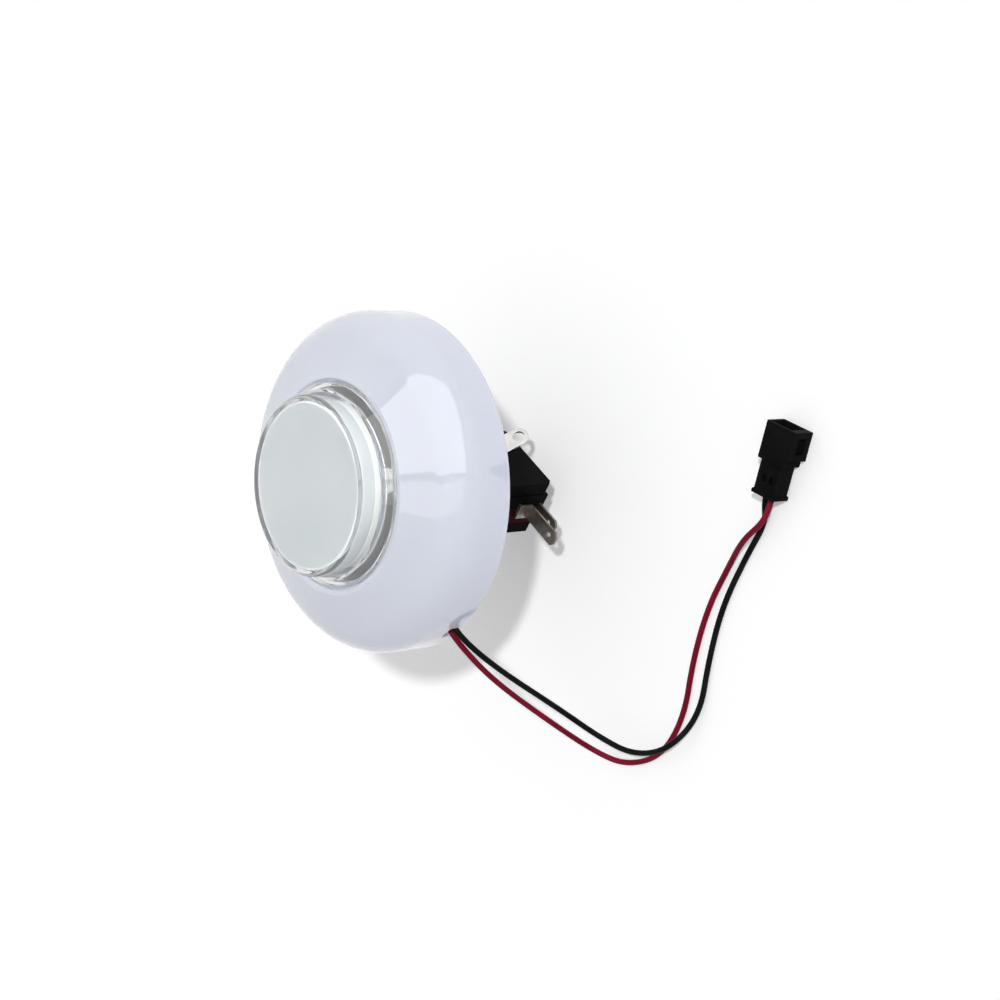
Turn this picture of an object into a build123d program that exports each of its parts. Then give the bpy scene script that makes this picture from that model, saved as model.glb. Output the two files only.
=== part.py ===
from build123d import *
import math
import os

# Arcade push button: a clear button in a milky dome with an LED ring, on a threaded stem
# that carries a lamp holder and a snap switch, with a two-wire lead to a small connector.
# The origin is where the button's axis meets the panel, and +Z points out of the panel.
# Lengths are millimetres and angles degrees.

# Plunger: clear cap, white diffuser and the carrier that works the switch
PLUNGER_D = 52.0
PLUNGER_OUT = 10.6        # front of the cap above the ring's seat
TRAVEL = 4.0
CAP_H = 15.4
CAP_WALL = 1.8
CAP_TOP_T = 2.0
CAP_EDGE_R = 1.2
CAP_CROWN = 0.6           # rise of the cap's front at its middle
DIFFUSER_H = 4.4
DIFFUSER_WALL = 1.4
DIFFUSER_FIT = 0.2
CARRIER_T = 2.0
CARRIER_FIT = 0.1
TUBE_D = 18.0
TUBE_WALL = 1.6
TUBE_TAIL = 3.0           # tube below the hooks
HOOK_H = 3.5
HOOK_GAP = 0.1
HOOK_W = 7.0
LEG_W = 5.0
LEG_ROOT = 0.6            # depth of the tube's wall inside the leg
LEG_FIT = 0.8

# Clear body: ring, well and stem
PLUNGER_FIT = 0.5
WELL_WALL = 1.5
WELL_FLOOR_T = 2.0
STOP_GAP = 0.4
RING_FLANGE_W = 2.0
RING_EDGE_H = 1.6
RING_RISE = 2.2
RING_TOP_W = 0.9
HUB_WALL = 2.2
HUB_H = 4.0
GUIDE_FIT = 0.4
WEB_T = 4.0
STEM_D = 28.0
STEM_WALL = 2.0
STEM_REACH = 24.0         # end of the stem behind the panel's plane
THREAD_H = 0.4            # the threaded stretch is drawn at this depth below the shank
SHANK_RELIEF = 1.0

# Return spring
SPRING_WIRE_D = 1.0
SPRING_TURNS = 5
SPRING_GAP = 0.6
SPRING_SEAT = 0.05

# Panel and lock nut
PANEL_T = 6.0
NUT_H = 8.0
NUT_WALL = 4.0
NUT_FIT = 0.1
NUT_CHAMFER = 1.2

# Dome bezel
DOME_D = 100.0
DOME_H = 25.0
DOME_SIDE_H = 10.0
SHOULDER_SHARE = 0.8      # shoulder's radius as a share of the dome's height above its side
DOME_WALL = 2.4
DOME_EDGE_R = 1.0
DOME_LIP_W = 1.6
RING_RECESS = 1.2
RING_FIT = 0.4
COLLAR_WALL = 2.0
COLLAR_H = 8.0
COLLAR_FIT = 0.3
NOTCH_W = 5.6
NOTCH_H = 3.8
NOTCH_R = 1.2

# LED ring board under the dome
BOARD_T = 1.6
BOARD_EDGE_GAP = 1.4
BOARD_BORE_GAP = 1.2
LED_COUNT = 12
LED_W = 5.0
LED_H = 1.6
LED_WINDOW_D = 3.8
LED_WINDOW_DEPTH = 0.3
RESISTOR_COUNT = 4
RESISTOR_L = 3.2
RESISTOR_W = 1.6
RESISTOR_H = 0.6
RESISTOR_INSET = 2.4
POST_COUNT = 4
POST_D = 6.0
SCREW_D = 2.2
SCREW_L = 7.0
SCREW_FIT = 0.05
SCREW_HEAD_D = 4.8
SCREW_HEAD_H = 1.5
SCREW_SLOT_W = 0.8
SCREW_SLOT_DEPTH = 0.7
JOINT_L = 2.0
JOINT_R = 1.15

# Lamp holder, lamp and lamp tabs: the rear group is turned about the axis
REAR_TURN = -42.0
PLUG_L = 10.0
PLUG_FIT = 0.3
HOLDER_LIP = 1.0
HOLDER_FLANGE_T = 3.0
SLOT_FIT = 0.6
LUG_W = 4.0
LUG_H = 2.2
LUG_RISE = 3.0            # lug's foot above the stem's end
LUG_FIT = 0.25
LUG_TWIST = 24.0          # twist that locks the holder
LAMP_BASE_W = 9.6
LAMP_BASE_T = 5.0
LAMP_BASE_H = 8.0
LAMP_FIT = 0.2
LAMP_COLLAR_H = 2.5
LAMP_COLLAR_D = 10.0
LAMP_D = 9.2
LAMP_L = 13.5
LAMP_TAB_W = 6.4
LAMP_TAB_T = 0.8
LAMP_TAB_RISE = 4.0       # contact tongue above the stem's end
LAMP_TAB_DROP = 6.0       # straight stretch behind the flange
LAMP_TAB_L = 11.0
LAMP_TAB_BEND = 35.0
LAMP_TAB_HOLE_D = 3.6
TAB_SLIT = 0.1

# Snap switch held between the holder's cheeks
SWITCH_L = 27.8
SWITCH_H = 15.9
SWITCH_T = 10.3
SWITCH_WALL = 1.2
SWITCH_SKIN = 1.3
SWITCH_SPLIT = 0.5        # joint of the two halves off the middle plane
SWITCH_EDGE_R = 0.8
SWITCH_STANDOFF = 1.5
SWITCH_HOLE_D = 3.1
SWITCH_HOLE_INSET = 2.8
SWITCH_BOSS_D = 4.4
CHEEK_T = 4.0
CHEEK_FIT = 0.2
CHEEK_RIM = 1.0
CHEEK_CHAMFER = 1.5
STUB_L = 1.4
STUB_FIT = 0.1
PIN_SIDE_GAP = 0.4        # pin's flange from the boss beside it
PIN_D = 3.2
PIN_TRAVEL = 2.0
PIN_PROUD = 0.1           # pin above the case when pressed home
PIN_FLANGE_D = 4.6
PIN_FLANGE_T = 1.0
PIN_FIT = 0.15
FOOT_GAP = 0.1
TAB_W = 4.8
TAB_T = 0.8
TAB_L = 9.0               # common tab behind the case
END_TAB_L = 10.0          # open tab out of the case's end
END_TAB_PITCH = 3.7       # closed tab's outer stretch above the open tab
CLOSED_TAB_MORE = 5.2     # closed tab beyond the open one
TAB_HOLE_D = 1.7
TAB_HOLE_INSET = 3.3
TAB_CHAMFER = 1.2
TAB_FIT = 0.05
BLADE_W = 4.0
BLADE_T = 0.3
CONTACT_D = 2.0
CONTACT_H = 0.5
CONTACT_GAP = 0.1

# Lead: two wires from the board, through the rim's notch, to the connector
EXIT_ANGLE = -64.0
WIRE_D = 1.7
WIRE_PITCH = 2.3
WIRE_BOARD_GAP = 0.1
WIRE_FLAT = 4.6           # wire along the board before it drops to the notch
NOTCH_IN = 1.8            # bend before the notch, inside the wall
NOTCH_IN_Z = 2.5
NOTCH_OUT = 3.2           # bend after the notch, outside the wall
NOTCH_OUT_Z = 0.5
GROUND_Z = -53.4          # level surface that the lead lies on behind the button
HOLE_PITCH = 2.5
ARC_SHARE = 0.45          # share of the shorter run that each bend takes

# Connector
CONNECTOR_X = 99.5
CONNECTOR_Y = -12.6
CONNECTOR_TURN = 65.0
HOUSING_L = 20.8
REAR_L = 10.0
REAR_W = 7.6
REAR_H = 5.6
LIP_L = 1.2
LIP_OUT = 0.4
HOOD_W = 9.4
HOOD_H = 7.2
HOOD_WALL = 1.0
HOOD_DEPTH = 8.6
LATCH_W = 1.5
LATCH_L = 8.4
LATCH_SLOT_L = 4.6
LATCH_SLOT_H = 3.2
WINDOW_L = 2.0
WINDOW_W = 1.2
CONDUCTOR_HOLE_D = 1.9
BARREL_L = 3.0
BARREL_FIT = 0.05
CONTACT_PIN_W = 1.0
PIN_SHORT = 2.4           # contact pins end this far inside the hood
WIRE_IN = 3.0             # wire inside the connector
WIRE_STRAIGHT = 1.8       # straight stretch of wire behind the connector

# Radii and heights worked out from the values above
PLUNGER_R = PLUNGER_D / 2
CAP_BORE_R = PLUNGER_R - CAP_WALL
WELL_R = PLUNGER_R + PLUNGER_FIT
WELL_OUT_R = WELL_R + WELL_WALL
RING_R = WELL_OUT_R + RING_FLANGE_W
RECESS_R = RING_R + RING_FIT
LIP_R = RECESS_R + DOME_LIP_W
DOME_R = DOME_D / 2
DOME_IN_R = DOME_R - DOME_WALL
SHOULDER_R = SHOULDER_SHARE * (DOME_H - DOME_SIDE_H)
COLLAR_R = WELL_OUT_R + COLLAR_FIT
COLLAR_OUT_R = COLLAR_R + COLLAR_WALL
TUBE_R = TUBE_D / 2
TUBE_BORE_R = TUBE_R - TUBE_WALL
GUIDE_R = TUBE_R + GUIDE_FIT
HUB_OUT_R = GUIDE_R + HUB_WALL
STEM_R = STEM_D / 2
STEM_BORE_R = STEM_R - STEM_WALL
THREAD_R = STEM_R - THREAD_H
HOOK_OUT_R = (GUIDE_R + STEM_BORE_R) / 2
LEG_IN_R = TUBE_BORE_R + LEG_ROOT
LEG_OUT_R = STEM_BORE_R - LEG_FIT
PIN_X = (LEG_IN_R + LEG_OUT_R) / 2
PLUG_R = STEM_BORE_R - PLUG_FIT
FLANGE_R = STEM_R + HOLDER_LIP

SEAT_Z = DOME_H - RING_RECESS
FACE_Z = SEAT_Z + PLUNGER_OUT
CAP_BOTTOM_Z = FACE_Z - CAP_H
CAP_IN_Z = FACE_Z - CAP_TOP_T
CARRIER_TOP_Z = CAP_IN_Z - DIFFUSER_H
CARRIER_Z = CARRIER_TOP_Z - CARRIER_T
WELL_FLOOR_Z = CAP_BOTTOM_Z - TRAVEL - STOP_GAP
WELL_BOTTOM_Z = WELL_FLOOR_Z - WELL_FLOOR_T
GUIDE_END_Z = WELL_BOTTOM_Z - WEB_T
HOOK_TOP_Z = GUIDE_END_Z - HOOK_GAP
TUBE_END_Z = HOOK_TOP_Z - HOOK_H - TUBE_TAIL
SHANK_END_Z = -PANEL_T + SHANK_RELIEF
STEM_END_Z = -STEM_REACH
PLUG_TOP_Z = STEM_END_Z + PLUG_L
HOLDER_REAR_Z = STEM_END_Z - HOLDER_FLANGE_T
SWITCH_TOP_Z = HOLDER_REAR_Z - SWITCH_STANDOFF
SWITCH_Z = SWITCH_TOP_Z - SWITCH_H / 2
PIN_OFFSET = SWITCH_L / 2 - SWITCH_HOLE_INSET - (SWITCH_BOSS_D + PIN_FLANGE_D) / 2 - PIN_SIDE_GAP
SWITCH_X = PIN_X - PIN_OFFSET
PIN_TOP_Z = SWITCH_TOP_Z + PIN_TRAVEL + PIN_PROUD
FOOT_Z = PIN_TOP_Z + TRAVEL - PIN_TRAVEL + FOOT_GAP
BOARD_Z = DOME_SIDE_H
BOARD_TOP_Z = BOARD_Z + BOARD_T
BOARD_R = DOME_IN_R - BOARD_EDGE_GAP
BOARD_BORE_R = COLLAR_OUT_R + BOARD_BORE_GAP
BOARD_MID_R = (BOARD_R + BOARD_BORE_R) / 2


def slab(x0, x1, y0, y1, z0, z1):
    """Box between two opposite corners."""
    return Pos((x0 + x1) / 2, (y0 + y1) / 2, (z0 + z1) / 2) * Box(x1 - x0, y1 - y0, z1 - z0)


def drum(radius, z0, z1, x=0.0, y=0.0):
    """Upright cylinder between two heights."""
    return Pos(x, y, (z0 + z1) / 2) * Cylinder(radius, z1 - z0)


def cross_pin(radius, y0, y1, x, z):
    """Cylinder along Y between two places."""
    return Pos(x, (y0 + y1) / 2, z) * Rot(90, 0, 0) * Cylinder(radius, y1 - y0)


def turned(edges):
    """Solid of revolution about Z from the edges of a closed outline in (radius, height)."""
    return revolve(Plane.XZ * make_face(edges), Axis.Z)


def turned_points(points):
    """Solid of revolution about Z from the corners of an outline in (radius, height)."""
    return turned(Polyline(*points, close=True))


def ring_places(count, radius, first_angle):
    """Places spread evenly round the axis."""
    return [Rot(0, 0, first_angle + 360 * k / count) * Pos(radius, 0, 0) for k in range(count)]


def group(solids):
    """Separate solids that share one node."""
    return Compound(children=[s.solid() for s in solids])


def slope_turn():
    """Angle round the dome's shoulder at which the straight slope up to the lip leaves it."""
    across = LIP_R - DOME_R + SHOULDER_R
    rise = DOME_H - DOME_SIDE_H
    return math.atan2(rise, across) - math.acos(SHOULDER_R / math.hypot(across, rise))


def slope_top(depth):
    """Upper end of the slope, at a depth below the dome's outer face."""
    turn = slope_turn()
    return (LIP_R - depth * (1 - math.sin(turn)) / math.cos(turn), DOME_H - depth)


def dome_front(depth):
    """Round shoulder and straight slope of the dome, at a depth below its outer face."""
    turn = slope_turn()
    middle = (DOME_R - SHOULDER_R, DOME_SIDE_H)
    radius = SHOULDER_R - depth
    start = (middle[0] + radius * math.cos(turn), middle[1] + radius * math.sin(turn))
    return [CenterArc(middle, radius, 0, math.degrees(turn)), Line(start, slope_top(depth))]


def dome_envelope():
    """The dome as a solid lump, with the outer face that the shell and its posts share."""
    return turned(
        [
            Line((0, 0), (DOME_R, 0)),
            Line((DOME_R, 0), (DOME_R, DOME_SIDE_H)),
            *dome_front(0),
            Line((LIP_R, DOME_H), (0, DOME_H)),
            Line((0, DOME_H), (0, 0)),
        ]
    )


def dome_shell():
    """Saucer-shaped shell with the ring's recess, a collar, screw posts and the wires' notch."""
    under_z = DOME_H - DOME_WALL
    collar_z = SEAT_Z - COLLAR_H
    inner = Polyline(
        slope_top(DOME_WALL),
        (COLLAR_OUT_R, under_z),
        (COLLAR_OUT_R, collar_z),
        (COLLAR_R, collar_z),
        (COLLAR_R, SEAT_Z),
        (RECESS_R, SEAT_Z),
        (RECESS_R, DOME_H),
        (LIP_R, DOME_H),
    )
    shell = turned(
        [
            Line((DOME_IN_R, 0), (DOME_R - DOME_EDGE_R, 0)),
            CenterArc((DOME_R - DOME_EDGE_R, DOME_EDGE_R), DOME_EDGE_R, -90, 90),
            Line((DOME_R, DOME_EDGE_R), (DOME_R, DOME_SIDE_H)),
            *dome_front(0),
            inner,
            *dome_front(DOME_WALL),
            Line((DOME_IN_R, DOME_SIDE_H), (DOME_IN_R, 0)),
        ]
    )
    envelope = dome_envelope()
    for place in ring_places(POST_COUNT, BOARD_MID_R, 0):
        shell += (place * drum(POST_D / 2, BOARD_TOP_Z, DOME_H)) & envelope
    for place in ring_places(POST_COUNT, BOARD_MID_R, 0):
        shell -= place * drum(SCREW_D / 2 + SCREW_FIT, BOARD_TOP_Z, BOARD_Z + SCREW_L + SCREW_FIT)
    opening = fillet(Rectangle(NOTCH_W, 2 * NOTCH_H).vertices(), NOTCH_R)
    cutter = extrude(Plane.YZ * opening, amount=2 * DOME_WALL, both=True)
    return shell - Rot(0, 0, EXIT_ANGLE) * Pos(DOME_IN_R, 0, 0) * cutter


def led_board():
    """Ring board that the posts carry."""
    board = drum(BOARD_R, BOARD_Z, BOARD_TOP_Z) - drum(BOARD_BORE_R, BOARD_Z, BOARD_TOP_Z)
    for place in ring_places(POST_COUNT, BOARD_MID_R, 0):
        board -= place * drum(SCREW_D / 2 + SCREW_FIT, BOARD_Z, BOARD_TOP_Z)
    return board


def board_leds():
    """Square LEDs with a sunk round window, on the board's front."""
    half = LED_W / 2
    top = BOARD_TOP_Z + LED_H
    led = slab(-half, half, -half, half, BOARD_TOP_Z, top)
    led -= drum(LED_WINDOW_D / 2, top - LED_WINDOW_DEPTH, top)
    return group([place * led for place in ring_places(LED_COUNT, BOARD_MID_R, 180 / LED_COUNT)])


def board_resistors():
    """Chip resistors near the board's bore, each between two LEDs."""
    length, width = RESISTOR_L / 2, RESISTOR_W / 2
    chip = slab(-width, width, -length, length, BOARD_TOP_Z, BOARD_TOP_Z + RESISTOR_H)
    places = ring_places(RESISTOR_COUNT, BOARD_BORE_R + RESISTOR_INSET, 360 / LED_COUNT)
    return group([place * chip for place in places])


def board_screws():
    """Pan-head screws through the board into the dome's posts."""
    head_z = BOARD_Z - SCREW_HEAD_H
    screw = drum(SCREW_HEAD_D / 2, head_z, BOARD_Z) + drum(SCREW_D / 2, BOARD_Z, BOARD_Z + SCREW_L)
    half = SCREW_SLOT_W / 2
    screw -= slab(-SCREW_HEAD_D, SCREW_HEAD_D, -half, half, head_z, head_z + SCREW_SLOT_DEPTH)
    return group([place * screw for place in ring_places(POST_COUNT, BOARD_MID_R, 0)])


def wire_height():
    """Height of the wires' middles where they lie along the board's rear."""
    return BOARD_Z - WIRE_BOARD_GAP - WIRE_D / 2


def joint_end():
    """Radius at which the solder joints end and the wires start, half way to the board's middle."""
    return (BOARD_BORE_R + BOARD_MID_R) / 2


def solder_joints():
    """Beads of solder on the board's rear, one behind each wire."""
    end = joint_end()
    bead = Pos(end - JOINT_L / 2, 0, wire_height()) * Rot(0, 90, 0) * Cylinder(JOINT_R, JOINT_L)
    bead &= slab(0, DOME_R, -JOINT_R, JOINT_R, 0, BOARD_Z)
    half = WIRE_PITCH / 2
    return group([Rot(0, 0, EXIT_ANGLE) * Pos(0, side * half, 0) * bead for side in (-1, 1)])


def button_body():
    """Clear body: ring on the dome, well round the plunger, guide hub and hollow stem."""
    edge_z = SEAT_Z + RING_EDGE_H
    top_z = edge_z + RING_RISE
    body = turned_points(
        [
            (GUIDE_R, GUIDE_END_Z),
            (GUIDE_R, WELL_FLOOR_Z + HUB_H),
            (HUB_OUT_R, WELL_FLOOR_Z + HUB_H),
            (HUB_OUT_R, WELL_FLOOR_Z),
            (WELL_R, WELL_FLOOR_Z),
            (WELL_R, top_z),
            (WELL_R + RING_TOP_W, top_z),
            (RING_R, edge_z),
            (RING_R, SEAT_Z),
            (WELL_OUT_R, SEAT_Z),
            (WELL_OUT_R, WELL_BOTTOM_Z),
            (STEM_R, WELL_BOTTOM_Z),
            (STEM_R, SHANK_END_Z),
            (THREAD_R, SHANK_END_Z),
            (THREAD_R, STEM_END_Z),
            (STEM_BORE_R, STEM_END_Z),
            (STEM_BORE_R, GUIDE_END_Z),
        ]
    )
    return body - lug_slots()


def lug_slots():
    """Twist-lock slots in the stem's end: a way in and a short run round to the lug."""
    foot_z = STEM_END_Z + LUG_RISE - LUG_FIT
    top_z = STEM_END_Z + LUG_RISE + LUG_H + LUG_FIT
    half = LUG_W / 2 + LUG_FIT
    half_angle = math.degrees(math.asin(half / STEM_BORE_R))
    entry = slab(0, 2 * STEM_R, -half, half, STEM_END_Z, top_z)
    run_face = Pos(STEM_R, (foot_z + top_z) / 2) * Rectangle(STEM_R, top_z - foot_z)
    run = revolve(Plane.XZ * run_face, Axis.Z, LUG_TWIST + half_angle)
    slot = Rot(0, 0, 90 - LUG_TWIST) * (entry + run) - drum(PLUG_R, STEM_END_Z, top_z)
    return Rot(0, 0, REAR_TURN) * (slot + Rot(0, 0, 180) * slot)


def lock_nut():
    """Hexagon nut on the stem behind the panel."""
    flats = STEM_R + NUT_WALL
    corner = flats / math.cos(math.radians(30))
    bottom = -PANEL_T - NUT_H
    hexagon = Pos(0, 0, bottom) * extrude(RegularPolygon(corner, 6), amount=NUT_H)
    turned_form = turned_points(
        [
            (0, bottom),
            (corner - NUT_CHAMFER, bottom),
            (corner, bottom + NUT_CHAMFER),
            (corner, -PANEL_T - NUT_CHAMFER),
            (corner - NUT_CHAMFER, -PANEL_T),
            (0, -PANEL_T),
        ]
    )
    return (hexagon & turned_form) - drum(THREAD_R + NUT_FIT, bottom, -PANEL_T)


def plunger_cap():
    """Clear cap with a crowned front and a skirt that runs in the well."""
    edge_z = FACE_Z - CAP_EDGE_R
    return turned(
        [
            Line((0, CAP_IN_Z), (CAP_BORE_R, CAP_IN_Z)),
            Line((CAP_BORE_R, CAP_IN_Z), (CAP_BORE_R, CAP_BOTTOM_Z)),
            Line((CAP_BORE_R, CAP_BOTTOM_Z), (PLUNGER_R, CAP_BOTTOM_Z)),
            Line((PLUNGER_R, CAP_BOTTOM_Z), (PLUNGER_R, edge_z)),
            CenterArc((PLUNGER_R - CAP_EDGE_R, edge_z), CAP_EDGE_R, 0, 90),
            crown_arc(PLUNGER_R - CAP_EDGE_R, FACE_Z),
            Line((0, FACE_Z + CAP_CROWN), (0, CAP_IN_Z)),
        ]
    )


def crown_arc(radius, height):
    """Low arc from the edge of a front face to its raised middle on the axis."""
    sphere = (radius**2 + CAP_CROWN**2) / (2 * CAP_CROWN)
    half_span = math.degrees(math.asin(radius / sphere))
    return CenterArc((0, height + CAP_CROWN - sphere), sphere, 90 - half_span, half_span)


def plunger_diffuser():
    """White cup between the cap's front and the carrier."""
    radius = CAP_BORE_R - DIFFUSER_FIT
    cup = drum(radius, CARRIER_TOP_Z, CAP_IN_Z)
    return cup - drum(radius - DIFFUSER_WALL, CARRIER_TOP_Z, CAP_IN_Z - DIFFUSER_WALL)


def plunger_carrier():
    """Disc that closes the cap, guide tube with two hooks, and the leg to the switch."""
    carrier = drum(CAP_BORE_R - CARRIER_FIT, CARRIER_Z, CARRIER_TOP_Z)
    carrier += drum(TUBE_R, TUBE_END_Z, CARRIER_TOP_Z)
    half = HOOK_W / 2
    hooks = slab(-half, half, -HOOK_OUT_R, HOOK_OUT_R, HOOK_TOP_Z - HOOK_H, HOOK_TOP_Z)
    carrier += hooks & drum(HOOK_OUT_R, HOOK_TOP_Z - HOOK_H, HOOK_TOP_Z)
    leg = slab(LEG_IN_R, LEG_OUT_R, -LEG_W / 2, LEG_W / 2, FOOT_Z, HOOK_TOP_Z)
    carrier += leg & drum(LEG_OUT_R, FOOT_Z, HOOK_TOP_Z)
    return Rot(0, 0, REAR_TURN) * (carrier - drum(TUBE_BORE_R, TUBE_END_Z, CARRIER_TOP_Z))


def return_spring():
    """Coil spring between the well's floor and the carrier."""
    radius = HUB_OUT_R + SPRING_GAP + SPRING_WIRE_D / 2
    start_z = WELL_FLOOR_Z + SPRING_WIRE_D / 2 + SPRING_SEAT
    end_z = CARRIER_Z - SPRING_WIRE_D / 2 - SPRING_SEAT
    height = end_z - start_z
    path = Helix(height / SPRING_TURNS, height, radius, center=(0, 0, start_z))
    section = Plane(path @ 0, z_dir=path % 0) * Circle(SPRING_WIRE_D / 2)
    return sweep(section, path, is_frenet=True)


def lamp_holder():
    """Black plug in the stem's end with a flange and two cheeks that hold the switch."""
    holder = drum(PLUG_R, STEM_END_Z, PLUG_TOP_Z) + drum(FLANGE_R, HOLDER_REAR_Z, STEM_END_Z)
    lug_z = STEM_END_Z + LUG_RISE
    lugs = slab(-LUG_W / 2, LUG_W / 2, -THREAD_R, THREAD_R, lug_z, lug_z + LUG_H)
    holder += lugs & drum(THREAD_R, lug_z, lug_z + LUG_H)
    stub_r = SWITCH_HOLE_D / 2 - STUB_FIT
    reach_x = SWITCH_L / 2 - SWITCH_HOLE_INSET + stub_r + CHEEK_RIM
    bottom_z = SWITCH_Z - SWITCH_H / 2 + SWITCH_HOLE_INSET - stub_r - CHEEK_RIM
    inner_y = SWITCH_T / 2 + CHEEK_FIT
    outer_y = inner_y + CHEEK_T
    cheek = slab(SWITCH_X - reach_x, SWITCH_X + reach_x, inner_y, outer_y, bottom_z, HOLDER_REAR_Z)
    cheek = chamfer(cheek.edges().filter_by(Axis.Y).group_by(Axis.Z)[0], CHEEK_CHAMFER)
    for x, z in switch_hole_places():
        cheek += cross_pin(stub_r, inner_y - STUB_L, inner_y, x, z)
    holder += cheek + mirror(cheek, Plane.XZ)
    half_w, half_t = LAMP_BASE_W / 2 + LAMP_FIT, LAMP_BASE_T / 2 + LAMP_FIT
    holder -= slab(-half_t, half_t, -half_w, half_w, PLUG_TOP_Z - LAMP_BASE_H, PLUG_TOP_Z)
    slot_y = LEG_W / 2 + SLOT_FIT
    slot_x0, slot_x1 = LEG_IN_R - SLOT_FIT, LEG_OUT_R + SLOT_FIT
    holder -= slab(slot_x0, slot_x1, -slot_y, slot_y, HOLDER_REAR_Z, PLUG_TOP_Z)
    holder -= lamp_tab(TAB_SLIT) + mirror(lamp_tab(TAB_SLIT), Plane.XZ)
    return Rot(0, 0, REAR_TURN) * holder


def lamp_tab(grow):
    """Lamp tab on the +Y side: contact tongue, straight stretch and bent end, grown for its slit."""
    half = LAMP_TAB_W / 2 + grow
    face_y = SWITCH_T / 2 + CHEEK_FIT + CHEEK_T + TAB_SLIT
    back_y = face_y + LAMP_TAB_T
    tongue_z = STEM_END_Z + LAMP_TAB_RISE
    bend_z = HOLDER_REAR_Z - LAMP_TAB_DROP
    tip_y = LAMP_BASE_W / 2 + LAMP_FIT / 2
    tongue = slab(-half, half, tip_y - grow, back_y, tongue_z - LAMP_TAB_T - grow, tongue_z + grow)
    straight = slab(-half, half, face_y - grow, back_y + grow, bend_z, tongue_z + grow)
    end = slab(-half, half, -LAMP_TAB_T - grow, grow, -LAMP_TAB_L, 0)
    end &= slab(-half, half, -LAMP_TAB_T - grow, grow, half - LAMP_TAB_L, 0) + cross_pin(
        half, -LAMP_TAB_T - grow, grow, 0, half - LAMP_TAB_L
    )
    end -= cross_pin(LAMP_TAB_HOLE_D / 2, -LAMP_TAB_T, 0, 0, half - LAMP_TAB_L)
    knee = Pos(0, back_y, bend_z) * Rot(LAMP_TAB_BEND, 0, 0)
    wedge = cross_knee(half, grow, back_y, bend_z)
    return tongue + straight + knee * end + wedge


def cross_knee(half, grow, back_y, bend_z):
    """Round outer side of the tab's bend."""
    sector = drum(LAMP_TAB_T + grow, -half, half)
    sector &= slab(-LAMP_TAB_T - grow, 0, -LAMP_TAB_T - grow, LAMP_TAB_T + grow, -half, half)
    return Pos(0, back_y, bend_z) * Rot(0, 90, 0) * Rot(0, 0, -90) * sector


def lamp_base():
    """Wedge base and collar of the plug-in lamp."""
    half_w, half_t = LAMP_BASE_W / 2, LAMP_BASE_T / 2
    base = slab(-half_t, half_t, -half_w, half_w, PLUG_TOP_Z - LAMP_BASE_H, PLUG_TOP_Z)
    base += drum(LAMP_COLLAR_D / 2, PLUG_TOP_Z, PLUG_TOP_Z + LAMP_COLLAR_H)
    return Rot(0, 0, REAR_TURN) * base


def lamp_lens():
    """Round-ended lens of the lamp, on its collar."""
    bottom = PLUG_TOP_Z + LAMP_COLLAR_H
    radius = LAMP_D / 2
    return drum(radius, bottom, bottom + LAMP_L) + Pos(0, 0, bottom + LAMP_L) * Sphere(radius)


def switch_hole_places():
    """Middles of the switch's two fixing holes, at opposite corners."""
    dx = SWITCH_L / 2 - SWITCH_HOLE_INSET
    dz = SWITCH_H / 2 - SWITCH_HOLE_INSET
    return [(SWITCH_X - dx, SWITCH_Z - dz), (SWITCH_X + dx, SWITCH_Z + dz)]


def closed_tab_z():
    """Height of the normally closed tab, just under the upper fixing boss."""
    return SWITCH_Z + SWITCH_H / 2 - SWITCH_HOLE_INSET - SWITCH_BOSS_D / 2 - TAB_T / 2 - CONTACT_GAP


def open_tab_z():
    """Height of the normally open tab, one tab's thickness above the case's floor."""
    return SWITCH_Z - SWITCH_H / 2 + SWITCH_WALL + TAB_T + TAB_T / 2


def common_tab_x():
    """Place of the common tab along the switch, clear of the lower fixing boss."""
    return SWITCH_X - SWITCH_L / 2 + SWITCH_HOLE_INSET + SWITCH_BOSS_D / 2 + TAB_T


def contact_x():
    """Place of the contacts along the switch, between the pin's flange and the end wall."""
    inner = SWITCH_X + PIN_OFFSET + PIN_FLANGE_D / 2
    return (inner + SWITCH_X + SWITCH_L / 2 - SWITCH_WALL) / 2


def blade_z():
    """Underside of the blade, which carries a contact up to the closed tab."""
    return closed_tab_z() - TAB_T / 2 - CONTACT_GAP - CONTACT_H - BLADE_T


def case_end_x():
    """Outer face of the switch's end wall."""
    return SWITCH_X + SWITCH_L / 2


def tab_strip(x0, x1, z0, z1, grow=0.0):
    """Strip of an end tab's width, grown for the way that it runs in."""
    half = TAB_W / 2 + grow
    return slab(x0, x1, -half, half, z0 - grow, z1 + grow)


def inside_strip(z, end_x, grow=0.0):
    """Strip of an end tab at a height, from its contact through the end wall."""
    return tab_strip(contact_x() - CONTACT_D / 2, end_x, z - TAB_T / 2, z + TAB_T / 2, grow)


def end_blade(x0, reach, z):
    """Flat stretch of an end tab that reaches out of the case, with its hole and cut corners."""
    end_x = case_end_x() + reach
    tab = tab_strip(x0, end_x, z - TAB_T / 2, z + TAB_T / 2)
    tab = chamfer(tab.edges().filter_by(Axis.Z).group_by(Axis.X)[-1], TAB_CHAMFER)
    return tab - drum(TAB_HOLE_D / 2, z - TAB_T, z + TAB_T, end_x - TAB_HOLE_INSET)


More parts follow.
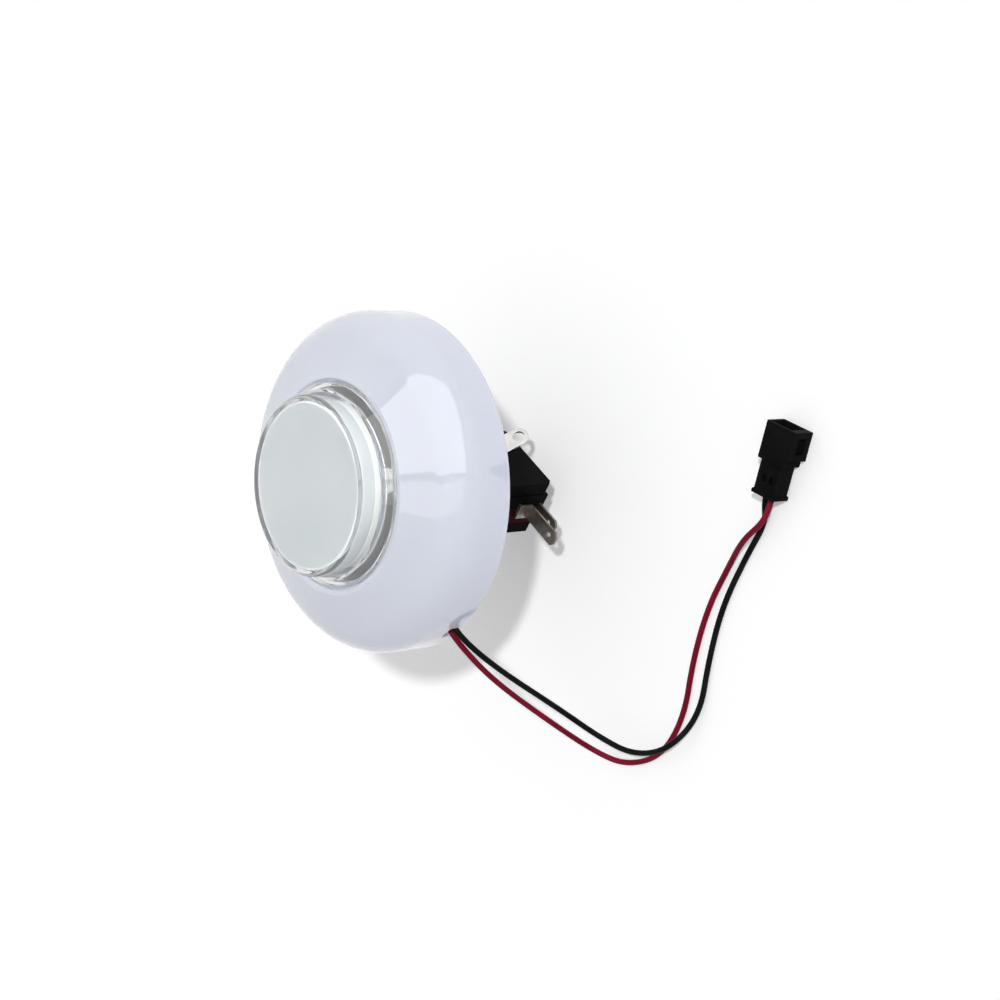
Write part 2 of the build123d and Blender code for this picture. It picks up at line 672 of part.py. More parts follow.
def common_tab(grow):
    """Tab along -Z through the switch's rear wall, up to the blade's root."""
    end_z = SWITCH_Z - SWITCH_H / 2 - TAB_L
    x = common_tab_x()
    half = TAB_W / 2
    tab = slab(x - TAB_T / 2 - grow, x + TAB_T / 2 + grow, -half - grow, half + grow, end_z, blade_z())
    if grow == 0:
        tab = chamfer(tab.edges().filter_by(Axis.X).group_by(Axis.Z)[0], TAB_CHAMFER)
        hole = Pos(x, 0, end_z + TAB_HOLE_INSET) * Rot(0, 90, 0) * Cylinder(TAB_HOLE_D / 2, 2 * TAB_T)
        tab -= hole
    return tab


def switch_block(y0, y1, inset):
    """Rectangular block of the switch's case, inset from its end and edge walls."""
    half_l = SWITCH_L / 2 - inset
    half_h = SWITCH_H / 2 - inset
    return slab(SWITCH_X - half_l, SWITCH_X + half_l, y0, y1, SWITCH_Z - half_h, SWITCH_Z + half_h)


def switch_half(y0, y1):
    """One half of the case, hollow, with the ways for the pin, the tabs and the fixing holes."""
    hollow_y = SWITCH_T / 2 - SWITCH_SKIN
    half = switch_block(y0, y1, 0)
    half = fillet(half.edges().filter_by(Axis.Y), SWITCH_EDGE_R)
    half -= switch_block(max(y0, -hollow_y), min(y1, hollow_y), SWITCH_WALL)
    half -= drum(PIN_D / 2 + PIN_FIT, SWITCH_Z, PIN_TOP_Z, PIN_X)
    for z in (closed_tab_z(), open_tab_z()):
        half -= inside_strip(z, case_end_x() + TAB_T, TAB_FIT)
    half -= common_tab(TAB_FIT)
    for x, z in switch_hole_places():
        half -= cross_pin(SWITCH_HOLE_D / 2, y0, y1, x, z)
    return half


def switch_base():
    """Maroon half of the switch, with the bosses round its fixing holes."""
    hollow_y = SWITCH_T / 2 - SWITCH_SKIN
    base = switch_half(-SWITCH_T / 2, SWITCH_SPLIT)
    for x, z in switch_hole_places():
        boss = cross_pin(SWITCH_BOSS_D / 2, -hollow_y, SWITCH_SPLIT, x, z)
        boss -= cross_pin(SWITCH_HOLE_D / 2, -hollow_y, SWITCH_SPLIT, x, z)
        base += boss & switch_block(-hollow_y, SWITCH_SPLIT, 0)
    return Rot(0, 0, REAR_TURN) * base


def switch_cover():
    """Black half of the switch."""
    return Rot(0, 0, REAR_TURN) * switch_half(SWITCH_SPLIT, SWITCH_T / 2)


def switch_pin():
    """Round pin with a flange that keeps it in the case."""
    blade_top = blade_z() + BLADE_T
    flange_top = SWITCH_TOP_Z - SWITCH_WALL - CONTACT_GAP
    pin = drum(PIN_D / 2, blade_top + CONTACT_GAP, PIN_TOP_Z, PIN_X)
    pin += drum(PIN_FLANGE_D / 2, flange_top - PIN_FLANGE_T, flange_top, PIN_X)
    return Rot(0, 0, REAR_TURN) * pin


def switch_blade():
    """Spring blade on the common tab, with its moving contact."""
    x0 = common_tab_x() - TAB_T / 2
    x = contact_x()
    z = blade_z()
    blade = slab(x0, x + CONTACT_D / 2, -BLADE_W / 2, BLADE_W / 2, z, z + BLADE_T)
    blade += drum(CONTACT_D / 2, z + BLADE_T, z + BLADE_T + CONTACT_H, x)
    return Rot(0, 0, REAR_TURN) * blade


def switch_terminal_common():
    """Common tab, out of the switch's rear."""
    return Rot(0, 0, REAR_TURN) * common_tab(0)


def switch_terminal_open():
    """Normally open tab, with a post up to where the pin's travel brings the blade."""
    z = open_tab_z()
    post = drum(CONTACT_D / 2, z, blade_z() - PIN_TRAVEL - CONTACT_GAP, contact_x())
    tab = inside_strip(z, case_end_x()) + end_blade(case_end_x(), END_TAB_L, z)
    return Rot(0, 0, REAR_TURN) * (tab + post)


def switch_terminal_closed():
    """Normally closed tab, over the blade's contact, stepped towards the open tab outside the case."""
    z = closed_tab_z()
    out_z = open_tab_z() + END_TAB_PITCH
    step_x = case_end_x() + TAB_T / 2
    tab = inside_strip(z, step_x + TAB_T)
    tab += tab_strip(step_x, step_x + TAB_T, out_z - TAB_T / 2, z + TAB_T / 2)
    tab += end_blade(step_x, END_TAB_L + CLOSED_TAB_MORE, out_z)
    return Rot(0, 0, REAR_TURN) * tab


def connector_place():
    """Place of the connector, with X along its length towards the mating end."""
    return Pos(CONNECTOR_X, CONNECTOR_Y, GROUND_Z + HOOD_H / 2) * Rot(0, 0, CONNECTOR_TURN)


def connector_housing():
    """Housing with rear lips, a hood round the contacts and a latch loop on its right side."""
    rear_w, rear_h = REAR_W / 2, REAR_H / 2
    hood_w, hood_h = HOOD_W / 2, HOOD_H / 2
    lip_w, lip_h = rear_w + LIP_OUT, rear_h + LIP_OUT
    floor_x = HOUSING_L - HOOD_DEPTH
    housing = slab(0, REAR_L, -rear_w, rear_w, -rear_h, rear_h)
    housing += slab(0, LIP_L, -lip_w, lip_w, -lip_h, lip_h)
    housing += slab(REAR_L, HOUSING_L, -hood_w, hood_w, -hood_h, hood_h)
    latch_x = HOUSING_L - LATCH_L
    latch = slab(latch_x, HOUSING_L, -hood_w - LATCH_W, -hood_w, -hood_h, hood_h)
    slot_x = (latch_x + HOUSING_L - LATCH_SLOT_L) / 2
    slot_h = LATCH_SLOT_H / 2
    latch -= slab(slot_x, slot_x + LATCH_SLOT_L, -hood_w - LATCH_W, -hood_w, -slot_h, slot_h)
    housing += latch
    bore_w, bore_h = hood_w - HOOD_WALL, hood_h - HOOD_WALL
    housing -= slab(floor_x, HOUSING_L, -bore_w, bore_w, -bore_h, bore_h)
    for side in (-1, 1):
        y = side * HOLE_PITCH / 2
        housing -= Pos(floor_x / 2, y, 0) * Rot(0, 90, 0) * Cylinder(CONDUCTOR_HOLE_D / 2, floor_x)
        window_x = WIRE_IN + BARREL_L
        housing -= slab(window_x - WINDOW_L, window_x, y - WINDOW_W / 2, y + WINDOW_W / 2, 0, lip_h)
    return connector_place() * housing


def connector_contacts():
    """Crimp barrels in the housing with the contact pins in its hood."""
    barrel_r = CONDUCTOR_HOLE_D / 2 - BARREL_FIT
    half = CONTACT_PIN_W / 2
    pin_end = HOUSING_L - PIN_SHORT
    contact = Pos(WIRE_IN + BARREL_L / 2, 0, 0) * Rot(0, 90, 0) * Cylinder(barrel_r, BARREL_L)
    contact += slab(WIRE_IN + BARREL_L, pin_end, -half, half, -half, half)
    half_pitch = HOLE_PITCH / 2
    return group([connector_place() * Pos(0, side * half_pitch, 0) * contact for side in (-1, 1)])


def lead_start(side):
    """Route inside the dome, from the solder joint to just outside the rim's notch."""
    place = Rot(0, 0, EXIT_ANGLE)
    y = side * WIRE_PITCH / 2
    start = joint_end()
    along = [
        (start, wire_height()),
        (start + WIRE_FLAT, wire_height()),
        (DOME_IN_R - NOTCH_IN, NOTCH_IN_Z),
        (DOME_R + NOTCH_OUT, NOTCH_OUT_Z),
    ]
    return [(place * Pos(radius, y, z)).position for radius, z in along]


def lead_end(side):
    """Route into the connector's rear, up to the contact's barrel."""
    y = side * HOLE_PITCH / 2
    return [(connector_place() * Pos(x, y, 0)).position for x in (-WIRE_STRAIGHT, WIRE_IN)]


LYING = GROUND_Z + WIRE_D / 2

# The red wire lies outside the black one, under it at the loop's foot and over it at the connector
RED_ROUTE = [
    (21.2, -60.2, 0.23 * LYING),
    (19.4, -74.6, 0.64 * LYING),
    (22.0, -86.4, LYING + 2.7),
    (32.6, -90.4, LYING),
    (47.8, -87.0, LYING),
    (58.2, -75.0, LYING),
    (63.4, -58.4, LYING),
    (71.0, -43.0, LYING),
    (81.0, -31.4, LYING + 0.8),
    (90.4, -24.2, LYING + 4.7),
    (98.4, -19.8, LYING + 4.9),
]

BLACK_ROUTE = [
    (25.2, -57.6, 0.23 * LYING),
    (25.6, -70.4, 0.61 * LYING),
    (29.4, -81.2, LYING + 7.1),
    (41.0, -86.2, LYING + 5.0),
    (55.4, -84.2, LYING + 4.8),
    (65.0, -74.4, LYING + 0.6),
    (69.6, -58.4, LYING),
    (76.6, -42.8, LYING),
    (87.2, -28.8, LYING),
    (95.4, -19.8, LYING + 0.3),
]


def wire(name, route):
    """Tube along straight runs joined by tangent arcs, each as large as its runs allow."""
    points = [Vector(*point) for point in route]
    radii = []
    for before, corner, after in zip(points, points[1:], points[2:]):
        run_in, run_out = corner - before, after - corner
        half_turn = math.radians(run_in.get_angle(run_out)) / 2
        radii.append(ARC_SHARE * min(run_in.length, run_out.length) / math.tan(half_turn))
    path = FilletPolyline(*points, radius=radii)
    section = Plane(path @ 0, z_dir=path % 0) * Circle(WIRE_D / 2)
    tube = sweep(section, path)
    ideal = path.length * math.pi * WIRE_D**2 / 4
    print(name, "length", round(path.length, 1), "volume over ideal", round(tube.volume / ideal, 5))
    print(name, "bend radii", [round(radius, 1) for radius in radii])
    return tube


def lead_wire_red():
    """Red wire of the lead."""
    return wire("red wire", lead_start(-1) + RED_ROUTE + lead_end(-1))


def lead_wire_black():
    """Black wire of the lead."""
    return wire("black wire", lead_start(1) + BLACK_ROUTE + lead_end(1))


def lamp_terminal_upper():
    """Tinned lamp tab on the upper side."""
    return Rot(0, 0, REAR_TURN) * lamp_tab(0)


def lamp_terminal_lower():
    """Tinned lamp tab on the lower side."""
    return Rot(0, 0, REAR_TURN) * mirror(lamp_tab(0), Plane.XZ)


PIECES = [
    dome_shell,
    led_board,
    board_leds,
    board_resistors,
    board_screws,
    solder_joints,
    button_body,
    lock_nut,
    return_spring,
    plunger_carrier,
    plunger_diffuser,
    plunger_cap,
    lamp_holder,
    lamp_terminal_upper,
    lamp_terminal_lower,
    lamp_base,
    lamp_lens,
    switch_base,
    switch_cover,
    switch_pin,
    switch_blade,
    switch_terminal_common,
    switch_terminal_open,
    switch_terminal_closed,
    lead_wire_red,
    lead_wire_black,
    connector_housing,
    connector_contacts,
]

os.makedirs("parts", exist_ok=True)
for piece in PIECES:
    export_step(piece(), f"parts/{piece.__name__}.step")
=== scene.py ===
import math

import bmesh
import bpy
import numpy as np
from mathutils import Matrix, Vector


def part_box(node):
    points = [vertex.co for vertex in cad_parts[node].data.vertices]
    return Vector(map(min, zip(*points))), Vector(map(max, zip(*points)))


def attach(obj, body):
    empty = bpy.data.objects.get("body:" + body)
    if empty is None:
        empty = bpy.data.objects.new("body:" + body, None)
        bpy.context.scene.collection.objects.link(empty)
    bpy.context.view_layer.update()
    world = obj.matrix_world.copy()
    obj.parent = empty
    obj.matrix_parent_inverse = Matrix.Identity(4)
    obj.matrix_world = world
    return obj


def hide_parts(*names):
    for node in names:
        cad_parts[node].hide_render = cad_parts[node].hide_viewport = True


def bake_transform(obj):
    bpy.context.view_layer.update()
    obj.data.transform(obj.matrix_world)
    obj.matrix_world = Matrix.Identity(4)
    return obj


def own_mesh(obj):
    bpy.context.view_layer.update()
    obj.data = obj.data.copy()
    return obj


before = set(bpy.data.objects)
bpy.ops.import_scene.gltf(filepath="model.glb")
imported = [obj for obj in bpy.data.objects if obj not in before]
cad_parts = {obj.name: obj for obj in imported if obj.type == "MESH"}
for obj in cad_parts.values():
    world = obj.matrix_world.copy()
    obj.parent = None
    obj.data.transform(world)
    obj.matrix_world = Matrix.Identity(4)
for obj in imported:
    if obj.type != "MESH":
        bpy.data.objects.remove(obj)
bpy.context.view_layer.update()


# Dome bezel: the saucer-shaped cover round the button, moulded in glossy milky plastic with a
# collar and four screw posts inside. Its rear edge sits on the panel and has a small notch
# for the lead.
MM = 0.001
dome_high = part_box("dome_shell")[1]
DOME_R = dome_high.x / MM
DOME_H = dome_high.z / MM
DOME_SIDE_H = 10.0
SHOULDER_R = 12.0
DOME_WALL = 2.4
DOME_IN_R = DOME_R - DOME_WALL
DOME_UNDER_Z = DOME_H - DOME_WALL
RIM_EDGE_R = 1.0
RIM_INNER_EDGE_R = 0.3
LIP_R = 32.0
LIP_EDGE_R = 0.35
RECESS_R = 30.4
SEAT_Z = DOME_H - 1.2
COLLAR_R = 28.3
COLLAR_OUT_R = 30.3
COLLAR_END_Z = SEAT_Z - 8.0
NOTCH_TURN = math.radians(-64.0)
NOTCH_W = 5.6
NOTCH_H = 3.8
NOTCH_R = 1.2
NOTCH_SIDE = 0.01         # run of the notch's upright sides along the rim
RIM_ZONE_Z = 2.0          # what lies below this height follows the notch
POST_R = 3.0
POST_BORE_R = 1.15
POST_H = 8.0
POST_ROOT = 0.05          # how far a post's end lies in the dome's wall
BOARD_MID_R = 38.85
BOARD_TOP_Z = 11.6
# The reddish glow below is painted into the dome's colour near the notch, where the red wire lies behind
# the rim.
PAINTED_GLOW_ASIDE = -1.0         # the glow's middle from the notch, towards the red wire
PAINTED_GLOW_ABOVE = 1.5          # and above the notch
PAINTED_GLOW_REACH = 6.5
PAINTED_GLOW_STRENGTH = 0.32
PAINTED_GLOW_COLOUR = (0.52, 0.20, 0.25)
ROUND = 256               # columns round a large turned piece
SMALL_ROUND = 64


def arc(middle, radius, first, last, steps):
    """Arc of a circle: middle + radius (cos a, sin a), with a from first to last in degrees."""
    a = np.radians(np.linspace(first, last, steps + 1))
    return middle + radius * np.stack([np.cos(a), np.sin(a)], 1)


def guarded(outline, closed=True, gap=0.15):
    """Outline with a point added gap from both ends of each long side, so that it is shaded flat."""
    ahead = np.roll(outline, -1, axis=0) - outline
    length = np.linalg.norm(ahead, axis=1)
    wide = length > 4 * gap
    if not closed:
        wide[-1] = False
    share = (gap / np.maximum(length, gap))[:, None]
    rows = np.stack([outline, outline + ahead * share, outline + ahead * (1 - share)], 1)
    return rows[np.stack([np.ones_like(wide), wide, wide], 1)]


def even_turns(columns):
    """Angles of evenly spaced columns round the axis."""
    return np.linspace(0, 2 * np.pi, columns, endpoint=False)


def turned(outline, turns):
    """Surface of revolution: outline point (r, z) at turn t goes to (r cos t, r sin t, z)."""
    r = outline[:, :1]
    z = np.repeat(outline[:, 1:], len(turns), axis=1)
    return np.stack([r * np.cos(turns), r * np.sin(turns), z], -1)


def grid_faces(shape, wrap_rows, wrap_columns):
    """Quads between neighbouring points of a grid; a wrapped side joins its last line to its first."""
    rows, columns = shape[:2]
    i = np.arange(rows if wrap_rows else rows - 1)[:, None]
    j = np.arange(columns if wrap_columns else columns - 1)[None, :]
    i_next = (i + 1) % rows
    j_next = (j + 1) % columns
    corners = [i * columns + j, i * columns + j_next, i_next * columns + j_next, i_next * columns + j]
    return np.stack(corners, -1).reshape(-1, 4)


def closed_form(points, wrap_rows=True, wrap_columns=True):
    """Grid of points with its faces."""
    return points.reshape(-1, 3), grid_faces(points.shape, wrap_rows, wrap_columns)


def together(forms):
    """Several forms as one, with each form's faces counted on from the points before it."""
    counts = np.cumsum([0] + [len(points) for points, faces in forms[:-1]])
    faces = [faces + count for (points, faces), count in zip(forms, counts)]
    return np.vstack([points for points, _ in forms]), np.vstack(faces)


def moved(form, turn=0.0, shift=(0.0, 0.0, 0.0)):
    """Form shifted and then turned about the axis by an angle in radians."""
    points, faces = form
    x, y, z = (points + np.array(shift)).T
    cos, sin = math.cos(turn), math.sin(turn)
    return np.stack([x * cos - y * sin, x * sin + y * cos, z], 1), faces


def piece(name, form, body, finish, nodes, sharp=38.0):
    """Mesh object of a form in millimetres: poles merged, edges over the sharp angle kept hard."""
    points, faces = form
    mesh = bpy.data.meshes.new(name)
    mesh.from_pydata((points * MM).tolist(), [], faces.tolist())
    build = bmesh.new()
    build.from_mesh(mesh)
    bmesh.ops.remove_doubles(build, verts=build.verts, dist=1e-7)
    bmesh.ops.dissolve_degenerate(build, edges=build.edges, dist=1e-7)
    build.to_mesh(mesh)
    build.free()
    mesh.shade_smooth()
    mesh.set_sharp_from_angle(angle=math.radians(sharp))
    mesh.materials.append(finish)
    thing = bpy.data.objects.new(name, mesh)
    bpy.context.scene.collection.objects.link(thing)
    if body:
        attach(thing, body)
    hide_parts(*nodes)
    return thing


def rim_columns():
    """Turns round the dome and the height of its rear edge there: level, but for the notch.

    Along the rim the notch has straight sides and corners of radius R: its edge at distance
    R (1 - cos a) from a side is R sin a above the straight side's top.
    """
    a = np.linspace(0, np.pi / 2, 9)
    corner = -NOTCH_W / 2 + NOTCH_R * (1 - np.cos(a))
    rise = NOTCH_H - NOTCH_R * (1 - np.sin(a))
    edge = NOTCH_W / 2 + NOTCH_SIDE
    along = np.concatenate([[-edge], corner, -corner[::-1], [edge]])
    lift = np.concatenate([[0], rise, rise[::-1], [0]])
    rest = np.linspace(edge / DOME_R, 2 * np.pi - edge / DOME_R, ROUND)[1:-1]
    return NOTCH_TURN + np.concatenate([along / DOME_R, rest]), np.concatenate([lift, 0 * rest])


def front_outline(depth, steps):
    """Dome's front at a depth below its outer face: an arc round the shoulder and a straight slope
    to the lip.

    With (a, b) from the shoulder's middle to the lip's edge, the slope leaves the arc of radius R
    at the angle atan(b / a) - acos(R / length of (a, b)).
    """
    across = LIP_R - DOME_R + SHOULDER_R
    rise = DOME_H - DOME_SIDE_H
    turn = math.atan2(rise, across) - math.acos(SHOULDER_R / math.hypot(across, rise))
    radius = SHOULDER_R - depth
    shoulder = arc((DOME_R - SHOULDER_R, DOME_SIDE_H), radius, 0, math.degrees(turn), steps)
    top = (LIP_R - depth * (1 - math.sin(turn)) / math.cos(turn), DOME_H - depth)
    return np.vstack([shoulder, [top]])


def post_form(turn, inside):
    """Hollow post whose height is stretched from the board up to the inside's outline, which gives
    the height z at each distance r from the axis."""
    corners = np.array([(POST_BORE_R, 0), (POST_R, 0), (POST_R, POST_H), (POST_BORE_R, POST_H)])
    post = closed_form(turned(guarded(corners), even_turns(SMALL_ROUND)))
    points, faces = moved(post, turn, (BOARD_MID_R, 0, 0))
    x, y, z = points.T
    end_z = np.interp(np.hypot(x, y), inside[:, 0], inside[:, 1]) + POST_ROOT
    return np.stack([x, y, BOARD_TOP_Z + z / POST_H * (end_z - BOARD_TOP_Z)], 1), faces


def dome_form():
    """Turned shell whose rear edge rises into the notch, with the screw posts standing inside it."""
    inner_middle = (DOME_IN_R + RIM_INNER_EDGE_R, RIM_INNER_EDGE_R)
    rim_middle = (DOME_R - RIM_EDGE_R, RIM_EDGE_R)
    lip_middle = (RECESS_R + LIP_EDGE_R, DOME_H - LIP_EDGE_R)
    rim = [arc(inner_middle, RIM_INNER_EDGE_R, 180, 270, 4), arc(rim_middle, RIM_EDGE_R, -90, 0, 6)]
    front = front_outline(0.0, 48)
    lip = arc(lip_middle, LIP_EDGE_R, 90, 180, 5)
    recess = [(RECESS_R, SEAT_Z), (COLLAR_R, SEAT_Z), (COLLAR_R, COLLAR_END_Z)]
    collar = [(COLLAR_OUT_R, COLLAR_END_Z), (COLLAR_OUT_R, DOME_UNDER_Z)]
    inside = front_outline(DOME_WALL, 32)[::-1]
    outline = guarded(np.vstack(rim + [front, lip, recess, collar, inside]))
    turns, lift = rim_columns()
    points = turned(outline, turns)
    points[..., 2] += np.where(points[..., 2] < RIM_ZONE_Z, lift, 0)
    return together([closed_form(points)] + [post_form(turn, inside) for turn in even_turns(4)])


def new_group(name, inputs, outputs):
    """Empty shader group with named inputs, each a number or three numbers, and named number outputs."""
    group = bpy.data.node_groups.new(name, "ShaderNodeTree")
    for label, value in inputs.items():
        kind = "NodeSocketFloat" if isinstance(value, float) else "NodeSocketVector"
        socket = group.interface.new_socket(label, in_out="INPUT", socket_type=kind)
        socket.default_value = value
    for label in outputs:
        group.interface.new_socket(label, in_out="OUTPUT", socket_type="NodeSocketFloat")
    return group, group.nodes.new("NodeGroupInput"), group.nodes.new("NodeGroupOutput")


def math_node(nodes, links, operation, first, second):
    """Math node on two inputs, each a socket or a plain number."""
    node = nodes.new("ShaderNodeMath")
    node.operation = operation
    for place, value in enumerate((first, second)):
        if isinstance(value, bpy.types.NodeSocket):
            links.new(value, node.inputs[place])
        else:
            node.inputs[place].default_value = value
    return node.outputs["Value"]


def make_moulded_skin():
    """Group for a moulded surface: Height is fine grain, Drift a slow, random change of tone from 0 to 1,
    and
    Roughness is Gloss plus Spread times (Drift - 0.5)."""
    values = {"Grain": 3000.0, "Slow": 60.0, "Gloss": 0.3, "Spread": 0.1}
    group, start, end = new_group("moulded_skin", values, ["Height", "Drift", "Roughness"])
    nodes, links = group.nodes, group.links
    place = nodes.new("ShaderNodeTexCoord")
    grain = nodes.new("ShaderNodeTexNoise")
    grain.inputs["Detail"].default_value = 3.0
    slow = nodes.new("ShaderNodeTexNoise")
    slow.inputs["Detail"].default_value = 4.0
    slow.inputs["Roughness"].default_value = 0.6
    for noise, label in ((grain, "Grain"), (slow, "Slow")):
        links.new(place.outputs["Object"], noise.inputs["Vector"])
        links.new(start.outputs[label], noise.inputs["Scale"])
    drift = nodes.new("ShaderNodeMapRange")
    drift.inputs["From Min"].default_value = 0.3
    drift.inputs["From Max"].default_value = 0.7
    links.new(slow.outputs["Fac"], drift.inputs["Value"])
    centred = math_node(nodes, links, "SUBTRACT", drift.outputs["Result"], 0.5)
    swing = math_node(nodes, links, "MULTIPLY", centred, start.outputs["Spread"])
    rough = math_node(nodes, links, "ADD", swing, start.outputs["Gloss"])
    links.new(grain.outputs["Fac"], end.inputs["Height"])
    links.new(drift.outputs["Result"], end.inputs["Drift"])
    links.new(rough, end.inputs["Roughness"])
    return group


moulded_skin = make_moulded_skin()


def mixed_colour(nodes, links, share, first, second):
    """Colour mix of two colours, each a socket or a plain colour, by a share from 0 to 1."""
    mix = nodes.new("ShaderNodeMix")
    mix.data_type = "RGBA"
    links.new(share, mix.inputs["Factor"])
    for place, colour in ((6, first), (7, second)):
        if isinstance(colour, bpy.types.NodeSocket):
            links.new(colour, mix.inputs[place])
        else:
            mix.inputs[place].default_value = (*colour, 1.0)
    return mix.outputs[2]


def raise_surface(nodes, links, height, strength):
    """Bump of a height mask, up to a tenth of a millimetre, on a finish's shader."""
    relief = nodes.new("ShaderNodeBump")
    relief.inputs["Strength"].default_value = strength
    relief.inputs["Distance"].default_value = 0.1 * MM
    links.new(height, relief.inputs["Height"])
    links.new(relief.outputs["Normal"], nodes["Principled BSDF"].inputs["Normal"])


def tint_or_painted_glow(material, mask, strength, colour):
    """Finish whose colour goes towards another one by a mask times a strength. It tints the board over its
    real tracks, and it paints the red wire's glow into the dome's colour.
    """
    nodes, links = material.node_tree.nodes, material.node_tree.links
    base = nodes["Principled BSDF"].inputs["Base Color"]
    share = math_node(nodes, links, "MULTIPLY", mask, strength)
    links.new(mixed_colour(nodes, links, share, base.links[0].from_socket, colour), base)


def moulded(name, deep, pale, skin, bump, plain):
    """Plastic finish: colour drifts from deep to pale, gloss and grain come from the moulded skin.

    skin holds the group's values, bump the grain's strength, and plain the shader's own values.
    """
    material = bpy.data.materials.new(name)
    material.use_nodes = True
    nodes, links = material.node_tree.nodes, material.node_tree.links
    shader = nodes["Principled BSDF"]
    for label, value in plain.items():
        shader.inputs[label].default_value = value
    surface = nodes.new("ShaderNodeGroup")
    surface.node_tree = moulded_skin
    for label, value in skin.items():
        surface.inputs[label].default_value = value
    colour = mixed_colour(nodes, links, surface.outputs["Drift"], deep, pale)
    links.new(colour, shader.inputs["Base Color"])
    links.new(surface.outputs["Roughness"], shader.inputs["Roughness"])
    raise_surface(nodes, links, surface.outputs["Height"], bump)
    return material


def near_point(nodes, links, point, radius):
    """Mask that is 1 at a point of the piece, in millimetres, and fades to 0 at a radius from it."""
    place = nodes.new("ShaderNodeTexCoord")
    gap = nodes.new("ShaderNodeVectorMath")
    gap.operation = "DISTANCE"
    gap.inputs[1].default_value = [value * MM for value in point]
    links.new(place.outputs["Object"], gap.inputs[0])
    fade = nodes.new("ShaderNodeMapRange")
    fade.interpolation_type = "SMOOTHSTEP"
    fade.inputs["From Min"].default_value = 0.0
    fade.inputs["From Max"].default_value = radius * MM
    fade.inputs["To Min"].default_value = 1.0
    fade.inputs["To Max"].default_value = 0.0
    links.new(gap.outputs["Value"], fade.inputs["Value"])
    return fade.outputs["Result"]


def milky_finish():
    """Milky plastic that lets a little light in, with a reddish glow painted into its colour where the red
    wire lies behind the rim, standing in for the wire seen through the shell.
    """
    material = moulded(
        "milky_plastic",
        deep=(0.66, 0.69, 0.80),
        pale=(0.70, 0.732, 0.84),
        skin={"Grain": 900.0, "Slow": 22.0, "Gloss": 0.035, "Spread": 0.02},
        bump=0.004,
        plain={
            "IOR": 1.5,
            "Coat Weight": 0.6,
            "Coat Roughness": 0.02,
            "Subsurface Weight": 0.6,
            "Subsurface Radius": (1.0, 1.0, 1.15),
            "Subsurface Scale": 0.004,
        },
    )
    # Painted glow: the red wire seen through the shell, painted as a reddish tint round a point by the
    # notch.
    painted_glow_x = DOME_R * math.cos(NOTCH_TURN) + PAINTED_GLOW_ASIDE
    painted_glow_y = DOME_R * math.sin(NOTCH_TURN)
    tree = material.node_tree
    glow = near_point(tree.nodes, tree.links, (painted_glow_x, painted_glow_y, NOTCH_H + PAINTED_GLOW_ABOVE), PAINTED_GLOW_REACH)
    tint_or_painted_glow(material, glow, PAINTED_GLOW_STRENGTH, PAINTED_GLOW_COLOUR)
    return material


milky_plastic = milky_finish()
piece("dome_bezel", dome_form(), "housing", milky_plastic, ["dome_shell"])


# LED ring board: a white printed circuit ring screwed to the dome's posts from behind, with
# square LEDs and chip resistors on its front. The wires are soldered to its rear, where two
# copper tracks show through the white lacquer.
TRACK_RADII = (34.2, 43.4)
TRACK_HALF_W = 0.55
TRACK_STRENGTH = 0.65
TRACK_COLOUR = (0.52, 0.56, 0.50)


def dress(node, finish):
    """CAD node shown as it is, with a finish of its own."""
    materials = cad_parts[node].data.materials
    materials.clear()
    materials.append(finish)


def board_finish():
    """White lacquer, a little greyer over ring-shaped tracks at fixed distances from the axis."""
    material = moulded(
        "board_lacquer",
        deep=(0.70, 0.72, 0.69),
        pale=(0.76, 0.775, 0.75),
        skin={"Grain": 5200.0, "Slow": 90.0, "Gloss": 0.34, "Spread": 0.08},
        bump=0.05,
        plain={"IOR": 1.5},
    )
    nodes, links = material.node_tree.nodes, material.node_tree.links
    place = nodes.new("ShaderNodeTexCoord")
    flat = nodes.new("ShaderNodeVectorMath")
    flat.operation = "MULTIPLY"
    flat.inputs[1].default_value = (1.0, 1.0, 0.0)
    links.new(place.outputs["Object"], flat.inputs[0])
    radius = nodes.new("ShaderNodeVectorMath")
    radius.operation = "LENGTH"
    links.new(flat.outputs["Vector"], radius.inputs[0])
    masks = []
    for track_r in TRACK_RADII:
        off = math_node(nodes, links, "SUBTRACT", radius.outputs["Value"], track_r * MM)
        off = math_node(nodes, links, "ABSOLUTE", off, 0.0)
        masks.append(math_node(nodes, links, "LESS_THAN", off, TRACK_HALF_W * MM))
    tint_or_painted_glow(material, math_node(nodes, links, "MAXIMUM", *masks), TRACK_STRENGTH, TRACK_COLOUR)
    return material


led_package = moulded(
    "led_package",
    deep=(0.74, 0.70, 0.52),
    pale=(0.80, 0.79, 0.72),
    skin={"Grain": 4000.0, "Slow": 300.0, "Gloss": 0.3, "Spread": 0.1},
    bump=0.05,
    plain={"IOR": 1.5},
)
chip_resistor = moulded(
    "chip_resistor",
    deep=(0.012, 0.012, 0.014),
    pale=(0.03, 0.03, 0.034),
    skin={"Grain": 6000.0, "Slow": 500.0, "Gloss": 0.42, "Spread": 0.1},
    bump=0.08,
    plain={"IOR": 1.5},
)
dress("led_board", board_finish())
dress("board_leds", led_package)
dress("board_resistors", chip_resistor)


